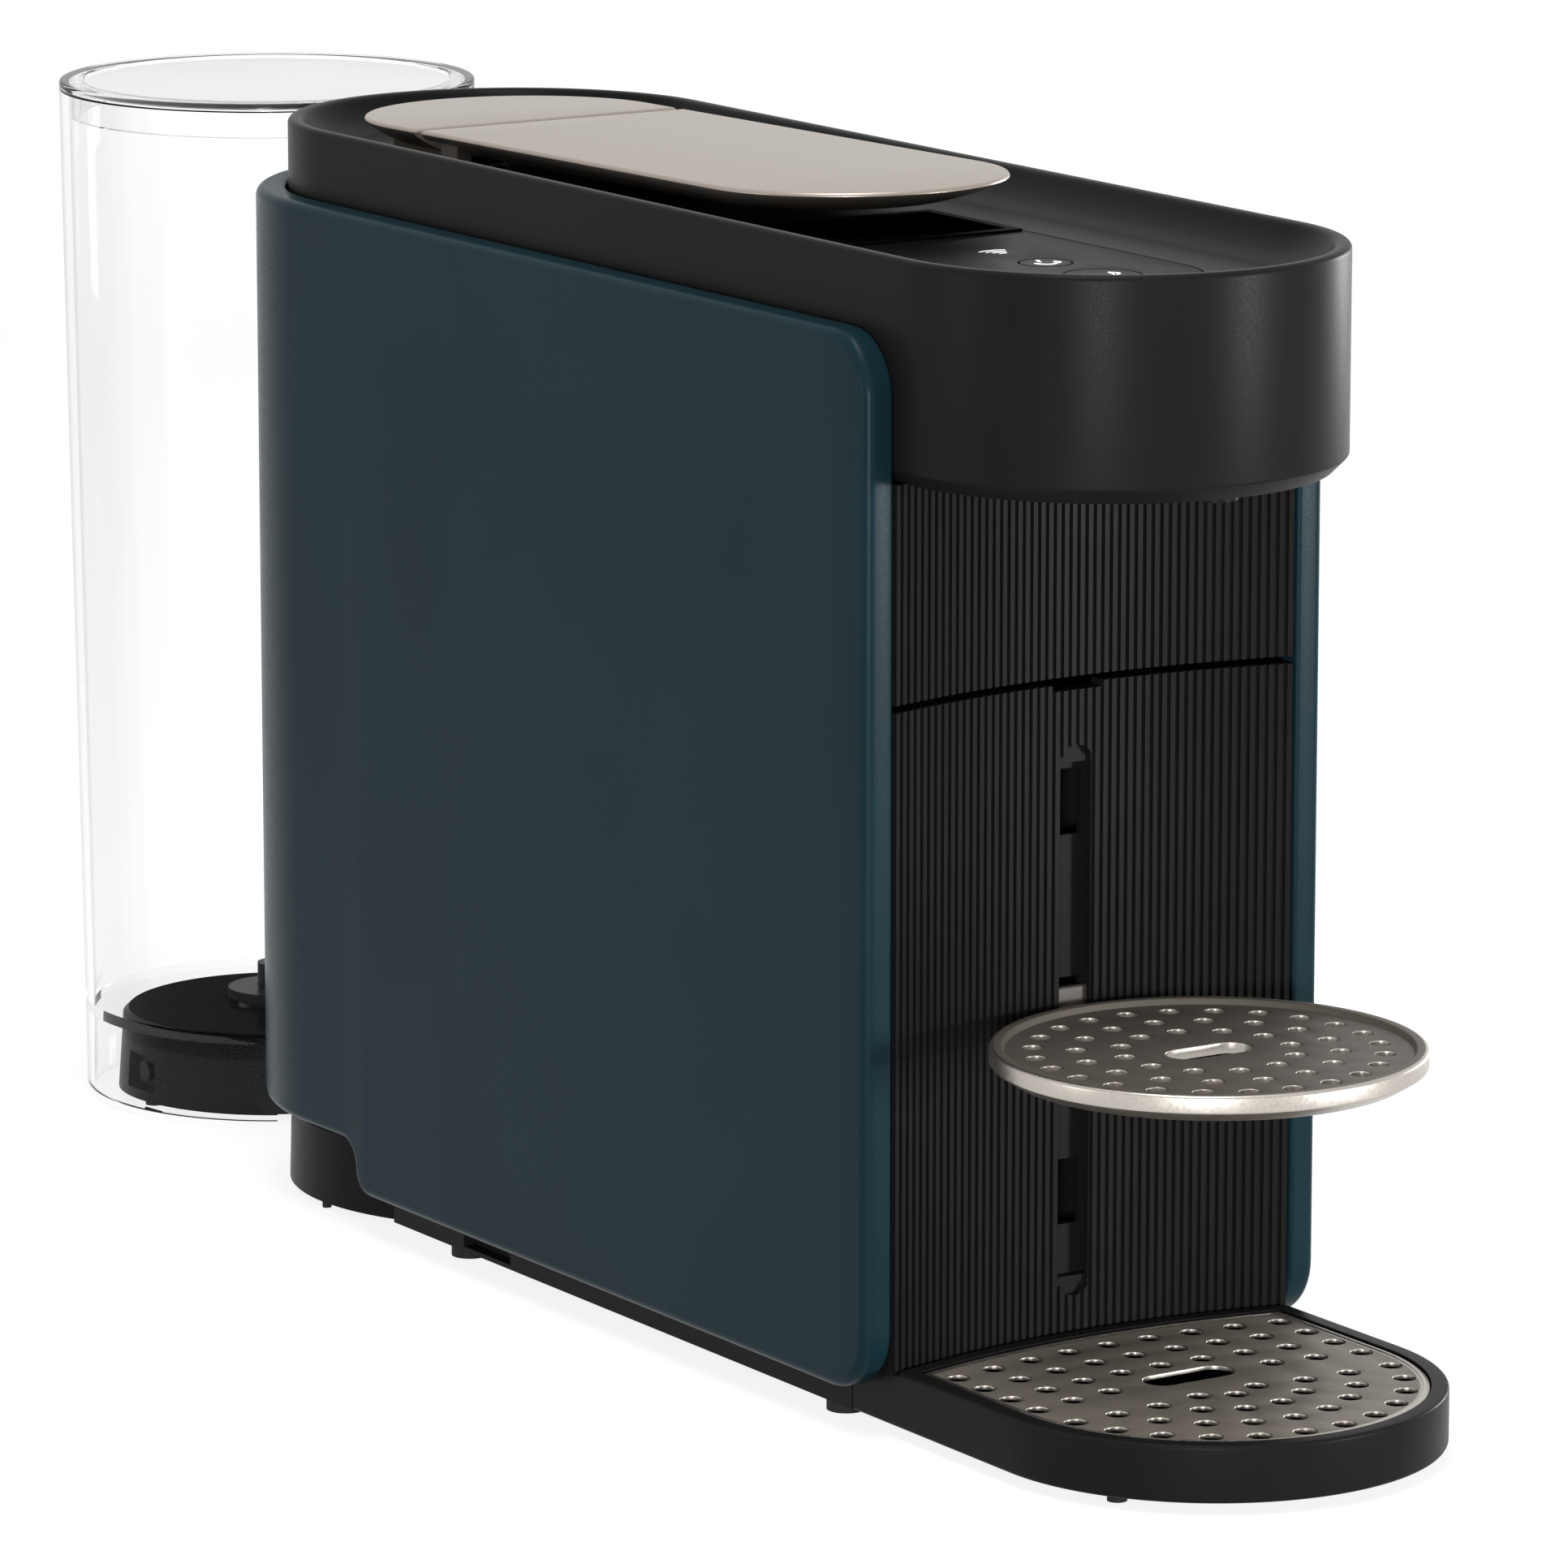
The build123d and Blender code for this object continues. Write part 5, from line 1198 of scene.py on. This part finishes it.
def white_ray(tree):
    """1 for camera, glossy and transmission rays, 0 for the rest."""
    path = tree.nodes.new("ShaderNodeLightPath").outputs
    total = path["Is Camera Ray"]
    for name in ("Is Glossy Ray", "Is Transmission Ray"):
        total = node(tree, "ShaderNodeMath", "Value", {0: total, 1: path[name]}, "MAXIMUM")
    return total


def make_surround(settings):
    """White surround, which lights the machine less than it shows."""
    world = bpy.data.worlds.new("surround")
    world.use_nodes = True
    bpy.context.scene.world = world
    tree = world.node_tree
    strength = spread(tree, white_ray(tree), settings.sky, 1.0, FULL_SPAN)
    wire(tree, tree.nodes["Background"], {"Color": WHITE, "Strength": strength})


def pale_floor(settings):
    """Floor that glows of itself but keeps the shadow, and fades to the surround's white with distance."""
    material, tree, shader, place = new_material("pale_floor")
    if tree:
        away = node(tree, "ShaderNodeVectorMath", "Value", {0: place}, "LENGTH")
        fade = spread(tree, away, settings.floor_glow, 1.0, (settings.fade_start, settings.fade_end))
        wire(tree, shader, {
            "Base Color": (*settings.floor_tone, 1.0),
            "Roughness": 1.0,
            "Specular IOR Level": 0.0,
            "Emission Color": WHITE,
            "Emission Strength": spread(tree, white_ray(tree), 0.0, fade, FULL_SPAN),
        })
    return material


def make_floor(settings):
    """The floor, just below the feet."""
    reach = settings.floor_reach
    mesh = bpy.data.meshes.new("floor")
    mesh.from_pydata(at(rectangle(-reach, reach, -reach, reach), -settings.floor_drop), [], [(0, 1, 2, 3)])
    mesh.materials.append(pale_floor(settings))
    floor = bpy.data.objects.new("floor", mesh)
    bpy.context.scene.collection.objects.link(floor)


def make_lights():
    """Soft studio lights."""
    for name, (place, target, (width, height), power) in LIGHTS.items():
        lamp = bpy.data.lights.new(name, "AREA")
        lamp.shape = "RECTANGLE"
        lamp.size, lamp.size_y, lamp.energy = width, height, power
        light = bpy.data.objects.new(name, lamp)
        light.location = place
        light.rotation_euler = (Vector(target) - Vector(place)).to_track_quat("-Z", "Y").to_euler()
        bpy.context.scene.collection.objects.link(light)


def make_camera(settings):
    """The camera, fitted to the photograph."""
    lens = bpy.data.cameras.new("camera")
    lens.lens, lens.sensor_width, lens.clip_end = settings.lens, SENSOR_WIDTH, FAR_CLIP
    camera = bpy.data.objects.new("camera", lens)
    camera.location = settings.eye
    camera.rotation_euler = (pi / 2 + settings.pitch, 0, -settings.yaw)
    bpy.context.scene.collection.objects.link(camera)
    bpy.context.scene.camera = camera


def make_stage(settings):
    """Pale floor that keeps the shadow, white surround, soft studio lights and the camera."""
    bpy.context.scene.view_settings.view_transform = "Standard"
    make_surround(settings)
    make_floor(settings)
    make_lights()
    make_camera(settings)


class COFFEE_OT_stage(bpy.types.Operator):
    """Make the floor, the surround, the lights and the camera"""
    bl_idname = "coffee.stage"
    bl_label = "Stage"

    def execute(self, context):
        make_stage(context.scene.coffee_stage)
        return {"FINISHED"}


class COFFEE_OT_frame_finishes(bpy.types.Operator):
    """Give every construction node its finish"""
    bl_idname = "coffee.frame_finishes"
    bl_label = "Construction finishes"

    def execute(self, context):
        dress_frame()
        return {"FINISHED"}


class COFFEE_OT_shell(bpy.types.Operator):
    """Make the outer shell"""
    bl_idname = "coffee.shell"
    bl_label = "Shell"

    def execute(self, context):
        make_shell(context.scene.coffee_body)
        return {"FINISHED"}


class COFFEE_OT_head(bpy.types.Operator):
    """Make the head with its rim and dish"""
    bl_idname = "coffee.head"
    bl_label = "Head"

    def execute(self, context):
        scene = context.scene
        make_head(scene.coffee_body, scene.coffee_panel, scene.coffee_lid)
        return {"FINISHED"}


class COFFEE_OT_controls(bpy.types.Operator):
    """Make the control panel, the buttons and the lit marks"""
    bl_idname = "coffee.controls"
    bl_label = "Controls"

    def execute(self, context):
        make_controls(context.scene.coffee_panel, context.scene.coffee_marks)
        return {"FINISHED"}


class COFFEE_OT_lid(bpy.types.Operator):
    """Make the lever and the cover behind it"""
    bl_idname = "coffee.lid"
    bl_label = "Lid"

    def execute(self, context):
        make_lever(context.scene.coffee_lid)
        make_rear_lid(context.scene.coffee_lid)
        return {"FINISHED"}


class COFFEE_OT_cup_support(bpy.types.Operator):
    """Make the pierced cup support"""
    bl_idname = "coffee.cup_support"
    bl_label = "Cup support"

    def execute(self, context):
        make_cup_support(context.scene.coffee_cup)
        return {"FINISHED"}


class COFFEE_OT_drip(bpy.types.Operator):
    """Make the drip base and its grid"""
    bl_idname = "coffee.drip"
    bl_label = "Drip base and grid"

    def execute(self, context):
        make_drip_grid(context.scene.coffee_drip)
        make_drip_base(context.scene.coffee_drip)
        return {"FINISHED"}


class COFFEE_OT_tank(bpy.types.Operator):
    """Make the water tank and its lid"""
    bl_idname = "coffee.tank"
    bl_label = "Water tank"

    def execute(self, context):
        make_tank(context.scene.coffee_tank)
        make_tank_lid(context.scene.coffee_tank)
        return {"FINISHED"}


OPERATORS = (COFFEE_OT_stage, COFFEE_OT_frame_finishes, COFFEE_OT_shell, COFFEE_OT_head, COFFEE_OT_controls,
             COFFEE_OT_lid, COFFEE_OT_cup_support, COFFEE_OT_drip, COFFEE_OT_tank)
SETTINGS = {"coffee_body": BodySizes, "coffee_panel": PanelSizes, "coffee_marks": MarkSizes,
            "coffee_lid": LidSizes, "coffee_cup": CupSizes, "coffee_drip": DripSizes,
            "coffee_tank": TankSizes, "coffee_finishes": Finishes, "coffee_stage": StageSettings}


class COFFEE_PT_sidebar(bpy.types.Panel):
    """Lists the pieces of the coffee machine"""
    bl_idname = "COFFEE_PT_sidebar"
    bl_label = "Pod coffee machine"
    bl_space_type = "VIEW_3D"
    bl_region_type = "UI"
    bl_category = "Coffee"

    def draw(self, context):
        for operator in OPERATORS:
            self.layout.operator(operator.bl_idname)


def register():
    for settings in SETTINGS.values():
        bpy.utils.register_class(settings)
    for name, settings in SETTINGS.items():
        setattr(bpy.types.Scene, name, PointerProperty(type=settings))
    for shown in (*OPERATORS, COFFEE_PT_sidebar):
        bpy.utils.register_class(shown)


def unregister():
    for shown in (COFFEE_PT_sidebar, *reversed(OPERATORS)):
        bpy.utils.unregister_class(shown)
    for name, settings in SETTINGS.items():
        delattr(bpy.types.Scene, name)
        bpy.utils.unregister_class(settings)


def main():
    register()
    for operator in OPERATORS:
        group, name = operator.bl_idname.split(".")
        getattr(getattr(bpy.ops, group), name)()


if __name__ == "__main__":
    main()
